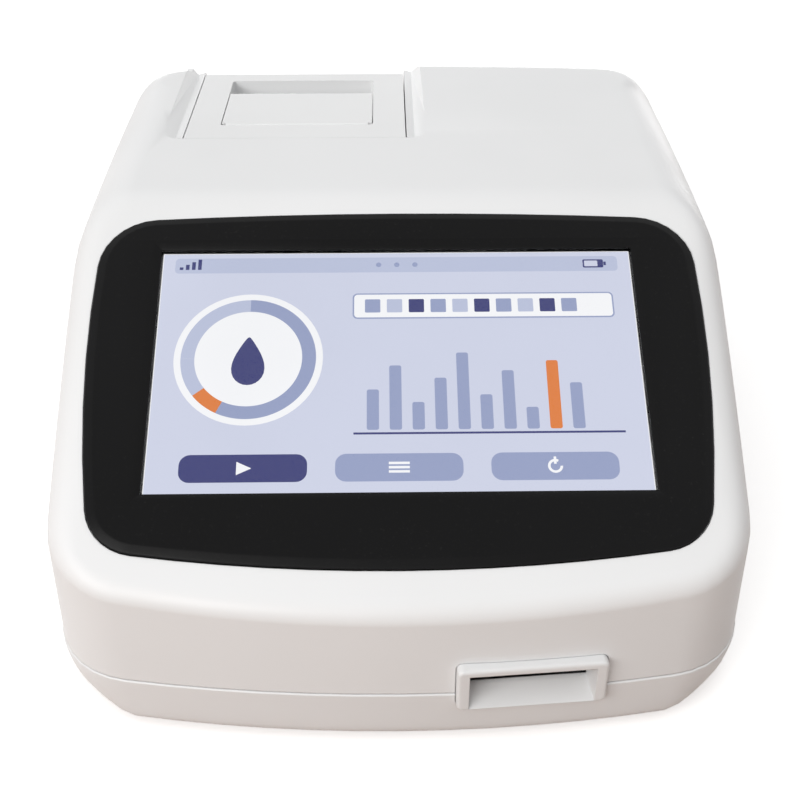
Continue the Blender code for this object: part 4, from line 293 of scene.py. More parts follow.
def moulded_plastic(name, colour, second, worn_and_highlight_colour, *, shine, dust, grain=2600.0, depth=0.00002,
                    edge=0.0005, wear_and_highlight=0.3, **constants):
    """Injection moulded plastic; depth is that of its grain and edge the radius of its edges, in metres."""
    material, tree, shader = new_finish(name, **constants)
    grained = place_group(tree, MOULDED_GRAIN, Grain_Size=grain, Shine_Low=shine[0], Shine_High=shine[1])
    drift = place_group(tree, COLOUR_DRIFT, Colour=colour, Second_Colour=second)
    edge_wear_and_highlight = place_group(tree, WORN_AND_HIGHLIT_EDGES, Edge_Radius=edge, Wear=wear_and_highlight)
    # Edges take the paler worn colour: rubbing wear together with a painted highlight along every edge.
    tone = mixed(tree, edge_wear_and_highlight.outputs["Mask"], drift.outputs["Color"], worn_and_highlight_colour)
    tree.links.new(dusted(tree, tone, amount=dust), shader.inputs["Base Color"])
    tree.links.new(grained.outputs["Roughness"], shader.inputs["Roughness"])
    bump(tree, shader, grained.outputs["Height"], depth, normal=edge_wear_and_highlight.outputs["Normal"])
    return material


def sheet_metal(name, colour, second, *, shine=(0.22, 0.42), lines=900.0, edge=0.0003):
    """Plated or ground metal with brush lines; its edges rub through to the second colour."""
    material, tree, shader = new_finish(name, Metallic=1.0)
    brushed = place_group(tree, BRUSHED_LINES, Line_Size=lines, Shine_Low=shine[0], Shine_High=shine[1])
    drift = place_group(tree, COLOUR_DRIFT, Colour=colour, Second_Colour=second, Drift_Size=45.0)
    edge_wear_and_highlight = place_group(tree, WORN_AND_HIGHLIT_EDGES, Edge_Radius=edge, Wear=0.5)
    tone = mixed(tree, edge_wear_and_highlight.outputs["Mask"], drift.outputs["Color"], second)
    tree.links.new(tone, shader.inputs["Base Color"])
    tree.links.new(brushed.outputs["Roughness"], shader.inputs["Roughness"])
    bump(tree, shader, brushed.outputs["Height"], depth=0.00001, normal=edge_wear_and_highlight.outputs["Normal"])
    return material


def make_rubber(name, colour, second, *, shine):
    """Moulded rubber: matt, faintly pitted, and paler along its edges, both where it rubs and as a painted
    highlight.
    """
    material, tree, shader = new_finish(name, Sheen_Weight=0.2, Sheen_Roughness=0.6)
    drift = place_group(tree, COLOUR_DRIFT, Colour=colour, Second_Colour=second, Drift_Size=120.0)
    grained = place_group(tree, MOULDED_GRAIN, Grain_Size=1500.0, Shine_Low=shine[0], Shine_High=shine[1])
    edge_wear_and_highlight = place_group(tree, WORN_AND_HIGHLIT_EDGES, Edge_Radius=0.0004, Wear=0.7)
    # Rubbed edges turn paler: wear together with a painted highlight along the edges.
    tone = mixed(tree, edge_wear_and_highlight.outputs["Mask"], drift.outputs["Color"], opaque(0.075, 0.072, 0.070))
    tree.links.new(dusted(tree, tone, amount=0.35), shader.inputs["Base Color"])
    tree.links.new(grained.outputs["Roughness"], shader.inputs["Roughness"])
    bump(tree, shader, grained.outputs["Height"], depth=0.00006, normal=edge_wear_and_highlight.outputs["Normal"])
    return material


def make_board():
    """Green solder mask with copper tracks under it and bright pads."""
    material, tree, shader = new_finish("solder_mask", Coat_Weight=0.35, Coat_Roughness=0.15)
    place = object_place(tree)
    bent = add(tree, "ShaderNodeTexVoronoi", {"feature": "DISTANCE_TO_EDGE", "distance": "CHEBYCHEV"},
               Vector=place, Scale=BOARD_TRACKS).outputs["Distance"]
    tracks = ramp(tree, bent, start=0.05, stop=0.09, low=1.0, high=0.0)
    drift = place_group(tree, COLOUR_DRIFT, Colour=opaque(0.010, 0.105, 0.040),
                        Second_Colour=opaque(0.008, 0.085, 0.035), Drift_Size=60.0)
    tone = mixed(tree, tracks, drift.outputs["Color"], opaque(0.020, 0.190, 0.075))
    spots = add(tree, "ShaderNodeTexVoronoi", Vector=place, Scale=BOARD_PADS).outputs["Distance"]
    pads = ramp(tree, spots, start=0.10, stop=0.13, low=1.0, high=0.0)
    tone = mixed(tree, pads, tone, opaque(0.56, 0.55, 0.50))
    grained = place_group(tree, MOULDED_GRAIN, Grain_Size=1800.0, Shine_Low=0.30, Shine_High=0.42)
    edge_wear_and_highlight = place_group(tree, WORN_AND_HIGHLIT_EDGES, Edge_Radius=0.0002, Wear=0.3)
    tree.links.new(dusted(tree, tone, amount=0.25), shader.inputs["Base Color"])
    tree.links.new(grained.outputs["Roughness"], shader.inputs["Roughness"])
    bump(tree, shader, tracks, depth=0.00004, normal=edge_wear_and_highlight.outputs["Normal"])
    return material


def make_ribbon():
    """A flat flexible cable: pale conductors side by side in a clear film."""
    material, tree, shader = new_finish("ribbon_film", Coat_Weight=0.4, Coat_Roughness=0.2)
    lines = add(tree, "ShaderNodeTexWave", {"bands_direction": "X"}, Vector=object_place(tree),
                Scale=RIBBON_LINES).outputs["Fac"]
    between = ramp(tree, lines, start=0.35, stop=0.65)
    tone = mixed(tree, between, opaque(0.70, 0.69, 0.65), opaque(0.42, 0.40, 0.36))
    grained = place_group(tree, MOULDED_GRAIN, Grain_Size=1200.0, Shine_Low=0.30, Shine_High=0.40)
    tree.links.new(tone, shader.inputs["Base Color"])
    tree.links.new(grained.outputs["Roughness"], shader.inputs["Roughness"])
    bump(tree, shader, lines, depth=0.00005)
    return material


def make_paper():
    """Thermal paper wound on itself: the ends of the roll show its turns."""
    material, tree, shader = new_finish("thermal_paper")
    low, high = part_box("paper_roll")
    centre = (low + high) / 2
    place = tree.nodes.new("ShaderNodeTexCoord").outputs["Object"]
    moved = add(tree, "ShaderNodeMapping", Vector=place, Location=(0.0, -centre.y, -centre.z),
                Scale=(0.0, 1.0, 1.0)).outputs[0]
    turns = add(tree, "ShaderNodeTexWave", {"wave_type": "RINGS", "rings_direction": "X"}, Vector=moved,
                Scale=PAPER_TURNS, Distortion=0.6).outputs["Fac"]
    fibres = noise(tree, object_place(tree, stretch=(0.3, 1.0, 1.0)), PAPER_FIBRES, detail=4.0)
    drift = place_group(tree, COLOUR_DRIFT, Colour=opaque(0.80, 0.80, 0.78),
                        Second_Colour=opaque(0.75, 0.75, 0.74), Drift_Size=70.0)
    normal = tree.nodes.new("ShaderNodeNewGeometry").outputs["True Normal"]
    across = add(tree, "ShaderNodeSeparateXYZ", Vector=normal).outputs["X"]
    on_end = ramp(tree, calculate(tree, "ABSOLUTE", across), start=0.6, stop=0.9, high=0.35)
    shaded = calculate(tree, "MULTIPLY", turns, on_end)
    tone = mixed(tree, shaded, drift.outputs["Color"], opaque(0.50, 0.50, 0.49))
    tree.links.new(tone, shader.inputs["Base Color"])
    shine = ramp(tree, fibres, start=0.3, stop=0.7, low=0.48, high=0.62)
    tree.links.new(shine, shader.inputs["Roughness"])
    bump(tree, shader, fibres, depth=0.00002)
    return material


def make_cover_glass():
    """The touch panel: clear, with a trace of finger marks that only its shine shows."""
    material, tree, shader = new_finish(
        "cover_glass", Base_Color=WHITE, IOR=1.42, Transmission_Weight=1.0, Metallic=0.0)
    marks = noise(tree, object_place(tree, stretch=(1.0, 0.7, 0.7)), FINGER_MARKS, detail=6.0, roughness=0.65)
    shine = ramp(tree, marks, start=0.45, stop=0.72, low=0.02, high=0.10)
    tree.links.new(shine, shader.inputs["Roughness"])
    return material


def make_lens():
    """Clear optical plastic with a breath of haze."""
    material, tree, shader = new_finish(
        "lens_glass", Base_Color=opaque(0.97, 0.99, 1.0), IOR=1.50, Transmission_Weight=1.0, Metallic=0.0)
    haze = noise(tree, object_place(tree), LENS_HAZE, detail=3.0)
    shine = ramp(tree, haze, start=0.4, stop=0.7, low=0.02, high=0.06)
    tree.links.new(shine, shader.inputs["Roughness"])
    return material


def make_tile():
    """Pressed white ceramic for calibrating the reader: very even, very matt."""
    material, tree, shader = new_finish("white_ceramic")
    grained = place_group(tree, MOULDED_GRAIN, Grain_Size=5200.0, Shine_Low=0.55, Shine_High=0.68)
    drift = place_group(tree, COLOUR_DRIFT, Colour=opaque(0.90, 0.90, 0.90),
                        Second_Colour=opaque(0.87, 0.87, 0.87), Drift_Size=150.0)
    tree.links.new(drift.outputs["Color"], shader.inputs["Base Color"])
    tree.links.new(grained.outputs["Roughness"], shader.inputs["Roughness"])
    bump(tree, shader, grained.outputs["Height"], depth=0.00001)
    return material


CASE_FINISH = moulded_plastic(
    "case_moulding", opaque(0.80, 0.805, 0.812), opaque(0.775, 0.78, 0.785), opaque(0.86, 0.86, 0.86),
    shine=(0.36, 0.46), dust=0.03, depth=0.000012, wear_and_highlight=0.25)
TRIM_FINISH = moulded_plastic(
    "trim_moulding", opaque(0.79, 0.795, 0.80), opaque(0.76, 0.765, 0.77), opaque(0.86, 0.86, 0.86),
    shine=(0.30, 0.40), dust=0.04, depth=0.00001, edge=0.0004)
BEZEL_FINISH = moulded_plastic(
    "bezel_moulding", opaque(0.0036, 0.0036, 0.0039), opaque(0.0050, 0.0050, 0.0054),
    opaque(0.020, 0.020, 0.021), shine=(0.30, 0.38), dust=0.02, grain=3200.0, depth=0.000014, edge=0.0006,
    wear_and_highlight=0.35, Specular_IOR_Level=0.11)
# Black plastic for the switch, inlet, sensor and optical head; on the tray guide this black is painted shade
# for the slit behind the strip port.
DARK_AND_SHADE_FINISH = moulded_plastic(
    "dark_moulding_and_slit_shade", opaque(0.013, 0.013, 0.014), opaque(0.020, 0.020, 0.021), opaque(0.06, 0.06, 0.06),
    shine=(0.38, 0.52), dust=0.12, wear_and_highlight=0.5)
CHIP_FINISH = moulded_plastic(
    "chip_moulding", opaque(0.020, 0.020, 0.021), opaque(0.028, 0.028, 0.029), opaque(0.08, 0.08, 0.08),
    shine=(0.5, 0.65), dust=0.15, grain=4200.0, depth=0.00004, edge=0.0002, wear_and_highlight=0.2)
GREY_FINISH = moulded_plastic(
    "grey_moulding", opaque(0.27, 0.28, 0.29), opaque(0.235, 0.24, 0.25), opaque(0.42, 0.42, 0.42),
    shine=(0.40, 0.54), dust=0.12, depth=0.00003, wear_and_highlight=0.4)
TRAY_FINISH = moulded_plastic(
    "tray_moulding", opaque(0.77, 0.775, 0.775), opaque(0.73, 0.73, 0.72), opaque(0.84, 0.84, 0.83),
    shine=(0.26, 0.38), dust=0.03, depth=0.00001, edge=0.0003)
ACETAL_FINISH = moulded_plastic(
    "acetal_moulding", opaque(0.74, 0.71, 0.62), opaque(0.68, 0.65, 0.57), opaque(0.80, 0.77, 0.70),
    shine=(0.28, 0.38), dust=0.05, edge=0.0002)
STEEL_FINISH = sheet_metal("plated_sheet", opaque(0.56, 0.56, 0.55), opaque(0.47, 0.47, 0.46))
PIN_FINISH = sheet_metal(
    "ground_pin", opaque(0.62, 0.61, 0.60), opaque(0.52, 0.52, 0.51), shine=(0.15, 0.28), lines=2400.0)
SCREW_FINISH = sheet_metal(
    "zinc_screw", opaque(0.53, 0.54, 0.55), opaque(0.42, 0.43, 0.45), shine=(0.24, 0.42), lines=1600.0,
    edge=0.0002)
SHELL_FINISH = sheet_metal(
    "tinned_shell", opaque(0.66, 0.65, 0.62), opaque(0.55, 0.54, 0.52), shine=(0.18, 0.34), lines=1400.0,
    edge=0.0002)
RUBBER_FINISH = make_rubber(
    "foot_rubber", opaque(0.022, 0.022, 0.022), opaque(0.032, 0.031, 0.030), shine=(0.62, 0.78))
PLATEN_FINISH = make_rubber(
    "platen_rubber", opaque(0.030, 0.030, 0.031), opaque(0.042, 0.041, 0.040), shine=(0.45, 0.60))
BOARD_FINISH = make_board()
RIBBON_FINISH = make_ribbon()
PAPER_FINISH = make_paper()
GLASS_FINISH = make_cover_glass()
LENS_FINISH = make_lens()
TILE_FINISH = make_tile()

FINISHES = {
    CASE_FINISH: ["upper_housing", "lower_housing"],
    TRIM_FINISH: ["port_bezel", "printer_lid", "lid_paddle"],
    TRAY_FINISH: ["strip_tray"],
    BEZEL_FINISH: ["screen_bezel"],
    # The tray guide's black finish is painted shade in the slit behind the strip port.
    DARK_AND_SHADE_FINISH: ["tray_guide", "tray_home_sensor", "optical_head", "power_inlet", "power_switch",
                  "power_rocker"],
    CHIP_FINISH: ["processor_chip", "buzzer"],
    GREY_FINISH: ["paper_bucket", "rear_panel"],
    ACETAL_FINISH: ["tray_pinion", "platen_gear", "printer_motor_gear"],
    STEEL_FINISH: ["lcd_module", "screen_bracket_left", "screen_bracket_right", "tray_motor", "printer_motor",
                   "printer_frame", "thermal_print_head", "tear_bar"],
    PIN_FINISH: ["lid_hinge_pin", "paddle_pin", "platen_shaft"],
    SCREW_FINISH: [f"{kind}_screw_{index}" for kind in ("case", "bracket") for index in range(1, 5)],
    SHELL_FINISH: ["usb_socket_1", "usb_socket_2", "serial_socket"],
    RUBBER_FINISH: [f"foot_{end}_{side}" for end in ("front", "rear") for side in ("left", "right")],
    PLATEN_FINISH: ["platen_roller"],
    BOARD_FINISH: ["sensor_board", "main_board"],
    RIBBON_FINISH: ["display_ribbon"],
    PAPER_FINISH: ["paper_roll"],
    GLASS_FINISH: ["touch_glass"],
    LENS_FINISH: ["optical_lens"],
    TILE_FINISH: ["white_reference_tile"],
}


def make_even_shading():
    """Geometry nodes that join a node's split corners and shade it smooth, apart from its sharp edges."""
    group = bpy.data.node_groups.new("even_shading", "GeometryNodeTree")
    for side in ("INPUT", "OUTPUT"):
        group.interface.new_socket(name="Geometry", in_out=side, socket_type="NodeSocketGeometry")
    start = group.nodes.new("NodeGroupInput")
    weld = add(group, "GeometryNodeMergeByDistance", Distance=WELD_DISTANCE)
    plain = add(group, "GeometryNodeRemoveAttribute", Name="custom_normal")
    faces = add(group, "GeometryNodeSetShadeSmooth", {"domain": "FACE"})
    edges = add(group, "GeometryNodeSetShadeSmooth", {"domain": "EDGE"}, Shade_Smooth=False)
    end = group.nodes.new("NodeGroupOutput")
    angle = group.nodes.new("GeometryNodeInputMeshEdgeAngle")
    sharp = group.nodes.new("FunctionNodeCompare")
    sharp.inputs[1].default_value = SHARP_ANGLE
    group.links.new(angle.outputs["Unsigned Angle"], sharp.inputs[0])
    group.links.new(sharp.outputs[0], edges.inputs["Selection"])
    chain = [start, weld, plain, faces, edges, end]
    for first, second in zip(chain, chain[1:]):
        group.links.new(first.outputs[0], second.inputs[0])
    return group


def dress_nodes():
    """Puts each node's finish on all its slots and evens out its shading."""
    even_shading = make_even_shading()
    for finish, names in FINISHES.items():
        for name in names:
            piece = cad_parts[name]
            for slot in piece.material_slots:
                slot.material = finish
            piece.modifiers.new("even_shading", "NODES").node_group = even_shading
            weighted = piece.modifiers.new("weighted_normals", "WEIGHTED_NORMAL")
            weighted.keep_sharp = True


def screen_colour(name, colour):
    """A lit colour of the display, with a trace of unevenness from the lamp behind it."""
    material, tree, shader = new_finish(name, Base_Color=BLACK, Roughness=0.6, Emission_Strength=1.0,
                                        Specular_IOR_Level=0.0)
    dim_share = 0.965
    dim = opaque(*(dim_share * value for value in colour[:3]))
    drift = place_group(tree, COLOUR_DRIFT, Colour=colour, Second_Colour=dim, Drift_Size=14.0)
    tree.links.new(drift.outputs["Color"], shader.inputs["Emission Color"])
    return material


PALE_BLUE = screen_colour("lit_pale_blue", linear(205, 210, 230))
PURE_WHITE = screen_colour("lit_white", linear(246, 247, 250))
SLATE_BLUE = screen_colour("lit_slate_blue", linear(146, 157, 194))
MIST_BLUE = screen_colour("lit_mist_blue", linear(184, 192, 218))
NAVY_BLUE = screen_colour("lit_navy_blue", linear(36, 42, 112))
WARM_ORANGE = screen_colour("lit_orange", linear(222, 120, 40))

# Layers of the picture, from the back
EDGE_LAYER, GROUND_LAYER, PANEL_LAYER, SIGN_LAYER, TOP_LAYER = range(5)

# The picture, in millimetres about its centre
EDGE_OUT = 0.15
EDGE_IN = 0.10

STATUS_INSET = 4.6
STATUS_SIDE_GAP = 4.0
STATUS_HALF_HEIGHT = 2.9
STATUS_CORNER = 1.4
DOT_COUNT, DOT_STEP, DOT_RADIUS = 3, 6.0, 0.9
BATTERY_X = 65.0
BATTERY_HALF_WIDTH, BATTERY_HALF_HEIGHT, BATTERY_CORNER = 3.4, 1.6, 0.5
BATTERY_WALL = 0.5
CHARGE_HALF_WIDTH, CHARGE_CORNER = 2.2, 0.3
KNOB_HALF_WIDTH, KNOB_HALF_HEIGHT, KNOB_GAP = 0.4, 0.7, 0.1
SIGNAL_COUNT, SIGNAL_X, SIGNAL_STEP, SIGNAL_HALF_WIDTH = 4, -71.0, 2.0, 0.6
SIGNAL_FOOT = 1.5
SIGNAL_RISE = 1.0

TIMER_X, TIMER_Y = -47.5, 3.5
TIMER_RADIUS = 21.5
TIMER_RIM = 2.2
TIMER_BAND = 4.4
TIMER_START = 90.0
TIMER_PASSED = 232.0
TIMER_TIP = 26.0
TIMER_SEAM = 0.1
DROP_SIZE = 6.4
DROP_FALL = 1.0
DROP_STRETCH, DROP_PINCH, DROP_TAPER = 1.35, 0.72, 1.6

STRIP_LEFT, STRIP_RIGHT, STRIP_Y = -14.0, 70.0, 22.5
STRIP_HALF_HEIGHT, STRIP_CORNER = 4.3, 1.2
STRIP_BORDER, BORDER_CORNER = 0.5, 1.6
PAD_START, PAD_STEP = -8.0, 7.1
PAD_HALF, PAD_CORNER = 2.5, 0.4
BAR_FOOT = -22.0
BAR_HALF_WIDTH, BAR_CORNER = 1.9, 0.7
BAR_HEIGHTS = (14.0, 22.5, 9.5, 18.0, 27.0, 12.0, 20.5, 7.5, 24.0, 16.0)
BAR_PEAK = 8
FOOT_LINE_DROP, FOOT_LINE_HALF = 1.2, 0.35

BUTTON_Y = -34.6
BUTTON_XS = (-47.5, 0.0, 47.5)
BUTTON_HALF_WIDTH, BUTTON_HALF_HEIGHT, BUTTON_CORNER = 19.5, 4.6, 3.4
PLAY_BACK, PLAY_TIP, PLAY_HALF = -2.0, 2.6, 2.2
MENU_STEP, MENU_HALF_WIDTH, MENU_HALF_HEIGHT = 1.4, 3.2, 0.4
TURN_INNER, TURN_OUTER, TURN_START, TURN_END = 1.5, 2.3, 60.0, 360.0
TURN_TICK_Y, TURN_TICK_HALF_WIDTH, TURN_TICK_HALF_HEIGHT = 1.9, 0.4, 1.2

# Straight steps of round outlines
CORNER_STEPS = 6
DOT_STEPS = 20
DROP_STEPS = 30
PLATE_STEPS = 64
RING_STEPS = 48
TIP_STEPS = 12
TURN_STEPS = 30


def screen_piece(name, outlines, layer, material):
    """Thin flat shapes in the plane of the picture, from outlines in millimetres about its centre."""
    mesh = bmesh.new()
    middle = (PICTURE_LOW + PICTURE_HIGH) / 2
    depth = PICTURE_BACK + layer * PICTURE_STEP
    for outline in outlines:
        ring = [mesh.verts.new((u * MM, (middle + v) * MM, depth * MM)) for u, v in outline]
        face = mesh.faces.new(ring)
        grown = bmesh.ops.extrude_face_region(mesh, geom=[face])["geom"]
        lifted = [item for item in grown if isinstance(item, bmesh.types.BMVert)]
        bmesh.ops.translate(mesh, verts=lifted, vec=(0, 0, PICTURE_SHEET * MM))
    bmesh.ops.recalc_face_normals(mesh, faces=mesh.faces)
    bmesh.ops.transform(mesh, matrix=SCREEN_FRAME, verts=mesh.verts)
    data = bpy.data.meshes.new(name)
    mesh.to_mesh(data)
    mesh.free()
    data.materials.append(material)
    piece = bpy.data.objects.new(name, data)
    bpy.context.scene.collection.objects.link(piece)
    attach(piece, "housing")


def rectangle(u, v, half_width, half_height, corner=0.0):
    """A rectangle about a point, with round corners where corner is over 0."""
    if corner <= 0:
        return [(u + a * half_width, v + b * half_height) for a, b in ((-1, -1), (1, -1), (1, 1), (-1, 1))]
    points = []
    for turn, (a, b) in enumerate(((1, -1), (1, 1), (-1, 1), (-1, -1))):
        for step in range(CORNER_STEPS + 1):
            angle = math.pi / 2 * (turn - 1 + step / CORNER_STEPS)
            points.append((u + a * (half_width - corner) + corner * math.cos(angle),
                           v + b * (half_height - corner) + corner * math.sin(angle)))
    return points


def disc(u, v, radius, steps):
    turns = [math.tau * step / steps for step in range(steps)]
    return [(u + radius * math.cos(turn), v + radius * math.sin(turn)) for turn in turns]


def arc(u, v, inner, outer, start, end, steps=RING_STEPS):
    """A band of a ring, from one angle to another, in degrees."""
    turns = [math.radians(start + (end - start) * step / steps) for step in range(steps + 1)]
    near = [(u + inner * math.cos(turn), v + inner * math.sin(turn)) for turn in turns]
    far = [(u + outer * math.cos(turn), v + outer * math.sin(turn)) for turn in reversed(turns)]
    return near + far


def drop(u, v, size):
    """A drop of liquid, point upward."""
    points = []
    for step in range(DROP_STEPS):
        turn = math.tau * step / DROP_STEPS
        narrow = (0.5 + 0.5 * math.cos(turn)) ** DROP_TAPER
        points.append((u + size * math.sin(turn) * (1 - DROP_PINCH * narrow),
                       v + size * DROP_STRETCH * math.cos(turn)))
    return points


def draw_status_line(top):
    """A band along the upper edge with a battery, a signal sign and a row of page dots."""
    level = top - STATUS_INSET
    band = rectangle(0, level, PICTURE_HALF_WIDTH - STATUS_SIDE_GAP, STATUS_HALF_HEIGHT, STATUS_CORNER)
    screen_piece("status_band", [band], PANEL_LAYER, MIST_BLUE)
    first_dot = -DOT_STEP * (DOT_COUNT - 1) / 2
    dots = [disc(first_dot + DOT_STEP * index, level, DOT_RADIUS, DOT_STEPS) for index in range(DOT_COUNT)]
    screen_piece("status_dots", dots, SIGN_LAYER, SLATE_BLUE)
    case = rectangle(BATTERY_X, level, BATTERY_HALF_WIDTH, BATTERY_HALF_HEIGHT, BATTERY_CORNER)
    knob_x = BATTERY_X + BATTERY_HALF_WIDTH + KNOB_GAP + KNOB_HALF_WIDTH
    knob = rectangle(knob_x, level, KNOB_HALF_WIDTH, KNOB_HALF_HEIGHT)
    screen_piece("battery_case", [case, knob], SIGN_LAYER, NAVY_BLUE)
    charge_x = BATTERY_X - BATTERY_HALF_WIDTH + BATTERY_WALL + CHARGE_HALF_WIDTH
    charge = rectangle(charge_x, level, CHARGE_HALF_WIDTH, BATTERY_HALF_HEIGHT - BATTERY_WALL, CHARGE_CORNER)
    screen_piece("battery_charge", [charge], TOP_LAYER, PALE_BLUE)
    bars = []
    for index in range(SIGNAL_COUNT):
        half_height = SIGNAL_RISE * (index + 1) / 2
        bars.append(rectangle(SIGNAL_X + SIGNAL_STEP * index, level - SIGNAL_FOOT + half_height,
                              SIGNAL_HALF_WIDTH, half_height))
    screen_piece("signal_bars", bars, SIGN_LAYER, NAVY_BLUE)


def draw_timer():
    """A ring that counts down, with a drop in its middle."""
    def band(start, end, steps=RING_STEPS):
        return arc(TIMER_X, TIMER_Y, TIMER_RADIUS - TIMER_BAND, TIMER_RADIUS, start, end, steps)
    plate = disc(TIMER_X, TIMER_Y, TIMER_RADIUS + TIMER_RIM, PLATE_STEPS)
    screen_piece("timer_plate", [plate], PANEL_LAYER, PURE_WHITE)
    halves = [band(start, start + 180.0 - TIMER_SEAM) for start in (0.0, 180.0)]
    screen_piece("timer_track", halves, SIGN_LAYER, MIST_BLUE)
    last = TIMER_START - TIMER_PASSED
    screen_piece("timer_passed", [band(last + TIMER_TIP, TIMER_START)], TOP_LAYER, SLATE_BLUE)
    screen_piece("timer_tip", [band(last, last + TIMER_TIP, TIP_STEPS)], TOP_LAYER, WARM_ORANGE)
    screen_piece("timer_drop", [drop(TIMER_X, TIMER_Y - DROP_FALL, DROP_SIZE)], SIGN_LAYER, NAVY_BLUE)


def draw_strip():
    """A test strip with ten pads, and a bar under each."""
    middle, half = (STRIP_LEFT + STRIP_RIGHT) / 2, (STRIP_RIGHT - STRIP_LEFT) / 2
    border = rectangle(middle, STRIP_Y, half + STRIP_BORDER, STRIP_HALF_HEIGHT + STRIP_BORDER, BORDER_CORNER)
    screen_piece("strip_shade", [border], PANEL_LAYER, SLATE_BLUE)
    body = rectangle(middle, STRIP_Y, half, STRIP_HALF_HEIGHT, STRIP_CORNER)
    screen_piece("strip_body", [body], SIGN_LAYER, PURE_WHITE)
    centres = [PAD_START + PAD_STEP * index for index in range(len(BAR_HEIGHTS))]
    shades = (SLATE_BLUE, MIST_BLUE, NAVY_BLUE)
    for turn, shade in enumerate(shades):
        pads = [rectangle(u, STRIP_Y, PAD_HALF, PAD_HALF, PAD_CORNER) for u in centres[turn::len(shades)]]
        screen_piece(f"strip_pads_{turn + 1}", pads, TOP_LAYER, shade)
    bars = [rectangle(u, BAR_FOOT + height / 2, BAR_HALF_WIDTH, height / 2, BAR_CORNER)
            for u, height in zip(centres, BAR_HEIGHTS)]
    peak = bars.pop(BAR_PEAK)
    screen_piece("result_bars", bars, PANEL_LAYER, SLATE_BLUE)
    screen_piece("result_peak", [peak], PANEL_LAYER, WARM_ORANGE)
    foot = rectangle(middle, BAR_FOOT - FOOT_LINE_DROP, half, FOOT_LINE_HALF)
    screen_piece("result_foot", [foot], PANEL_LAYER, NAVY_BLUE)


def draw_buttons():
    """Three buttons with round corners along the lower edge, the first one chosen."""
    play = [[(PLAY_BACK, -PLAY_HALF), (PLAY_TIP, 0.0), (PLAY_BACK, PLAY_HALF)]]
    menu = [rectangle(0, MENU_STEP * (1 - row), MENU_HALF_WIDTH, MENU_HALF_HEIGHT) for row in range(3)]
    turn = [arc(0, 0, TURN_INNER, TURN_OUTER, TURN_START, TURN_END, TURN_STEPS),
            rectangle(0, TURN_TICK_Y, TURN_TICK_HALF_WIDTH, TURN_TICK_HALF_HEIGHT)]
    for index, (u, sign) in enumerate(zip(BUTTON_XS, (play, menu, turn)), 1):
        shape = rectangle(u, BUTTON_Y, BUTTON_HALF_WIDTH, BUTTON_HALF_HEIGHT, BUTTON_CORNER)
        screen_piece(f"button_{index}", [shape], PANEL_LAYER, NAVY_BLUE if index == 1 else SLATE_BLUE)
        outlines = [[(u + x, BUTTON_Y + y) for x, y in outline] for outline in sign]
        screen_piece(f"button_sign_{index}", outlines, SIGN_LAYER, PURE_WHITE)


def draw_picture():
    """A generic results page: a status line, a timer, a strip with bars and three buttons."""
    half_height = (PICTURE_HIGH - PICTURE_LOW) / 2
    edge = rectangle(0, 0, PICTURE_HALF_WIDTH + EDGE_OUT, half_height + EDGE_OUT)
    screen_piece("screen_edge_line", [edge], EDGE_LAYER, PURE_WHITE)
    ground = rectangle(0, 0, PICTURE_HALF_WIDTH - EDGE_IN, half_height - EDGE_IN)
    screen_piece("screen_ground", [ground], GROUND_LAYER, PALE_BLUE)
    draw_status_line(half_height)
    draw_timer()
    draw_strip()
    draw_buttons()


def make_camera():
    data = bpy.data.cameras.new("camera")
    data.lens, data.sensor_width = CAMERA_LENS, CAMERA_SENSOR
    camera = bpy.data.objects.new("camera", data)
    camera.location = CAMERA_PLACE
    camera.rotation_euler = (math.pi / 2 - CAMERA_PITCH, 0.0, -CAMERA_YAW)
    bpy.context.scene.collection.objects.link(camera)
    bpy.context.scene.camera = camera


def seen_rays(tree):
    """1 for the rays that show a surface or the room: from the camera, off a shine and through glass."""
    rays = tree.nodes.new("ShaderNodeLightPath").outputs
    direct = calculate(tree, "MAXIMUM", rays["Is Camera Ray"], rays["Is Glossy Ray"])
    return calculate(tree, "MAXIMUM", direct, rays["Is Transmission Ray"])


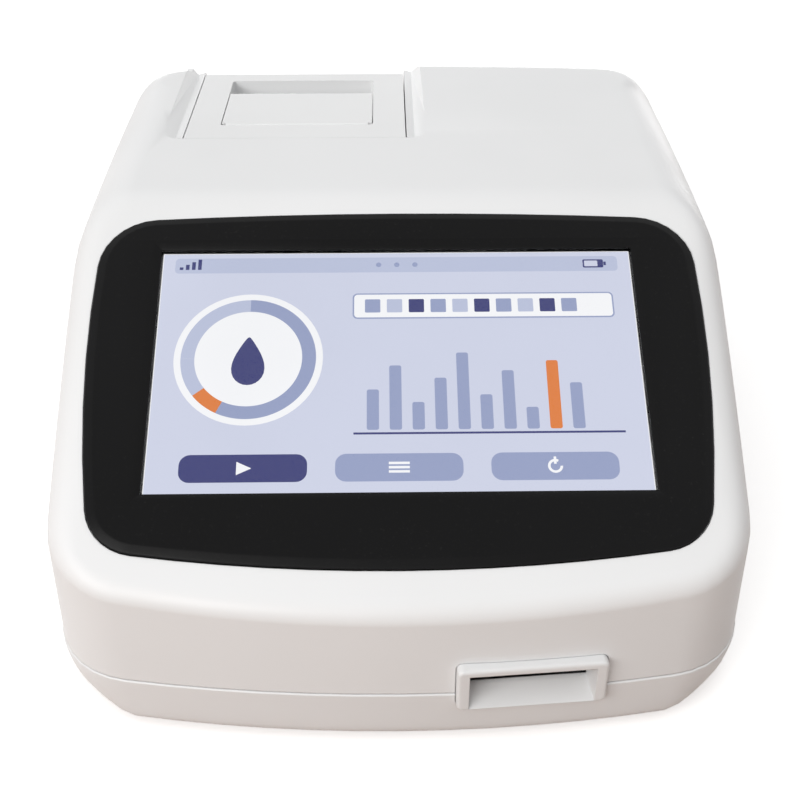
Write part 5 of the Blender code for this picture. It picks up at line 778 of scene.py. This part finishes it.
def make_floor():
    """A pale table top: white where it is seen, and a warm tan to the light that it throws back."""
    material, tree, shader = new_finish("pale_table", Roughness=0.9, Specular_IOR_Level=0.0,
                                        Emission_Color=WHITE)
    seen = seen_rays(tree)
    tree.links.new(mixed(tree, seen, FLOOR_TAN, FLOOR_WHITE), shader.inputs["Base Color"])
    tree.links.new(calculate(tree, "MULTIPLY", seen, FLOOR_LIFT), shader.inputs["Emission Strength"])
    data = bpy.data.meshes.new("floor")
    corners = [(a * FLOOR_REACH, b * FLOOR_REACH, 0.0) for a, b in ((-1, -1), (1, -1), (1, 1), (-1, 1))]
    data.from_pydata(corners, [], [(0, 1, 2, 3)])
    data.materials.append(material)
    floor = bpy.data.objects.new("floor", data)
    bpy.context.scene.collection.objects.link(floor)


def make_lamp(name, place, aim, size, power, colour):
    data = bpy.data.lights.new(name, "AREA")
    data.shape = "RECTANGLE"
    data.size, data.size_y = size
    data.energy, data.color = power, colour
    lamp = bpy.data.objects.new(name, data)
    lamp.location = place
    lamp.rotation_euler = (Vector(aim) - Vector(place)).to_track_quat("-Z", "Y").to_euler()
    bpy.context.scene.collection.objects.link(lamp)


def make_world():
    """A soft room, brighter overhead. Where it is seen it is plain white."""
    world = bpy.data.worlds.new("studio")
    world.use_nodes = True
    bpy.context.scene.world = world
    tree = world.node_tree
    ground = tree.nodes["Background"]
    place = tree.nodes.new("ShaderNodeTexCoord").outputs["Generated"]
    height = add(tree, "ShaderNodeSeparateXYZ", Vector=place).outputs["Z"]
    above = calculate(tree, "MULTIPLY", calculate(tree, "MAXIMUM", height, 0.0), ROOM_ABOVE)
    room = calculate(tree, "ADD", above, ROOM_ROUND)
    level = add(tree, "ShaderNodeMix", {"data_type": "FLOAT"})
    for name, value in (("0", seen_rays(tree)), ("2", room), ("3", ROOM_SEEN)):
        feed(tree, level, name, value)
    tree.links.new(level.outputs[0], ground.inputs["Strength"])
    ground.inputs["Color"].default_value = WHITE


dress_nodes()
draw_picture()
make_camera()
make_floor()
make_world()
make_lamp("window", **WINDOW)
make_lamp("rear_fill", **REAR_FILL)
bpy.context.scene.view_settings.view_transform = "Standard"
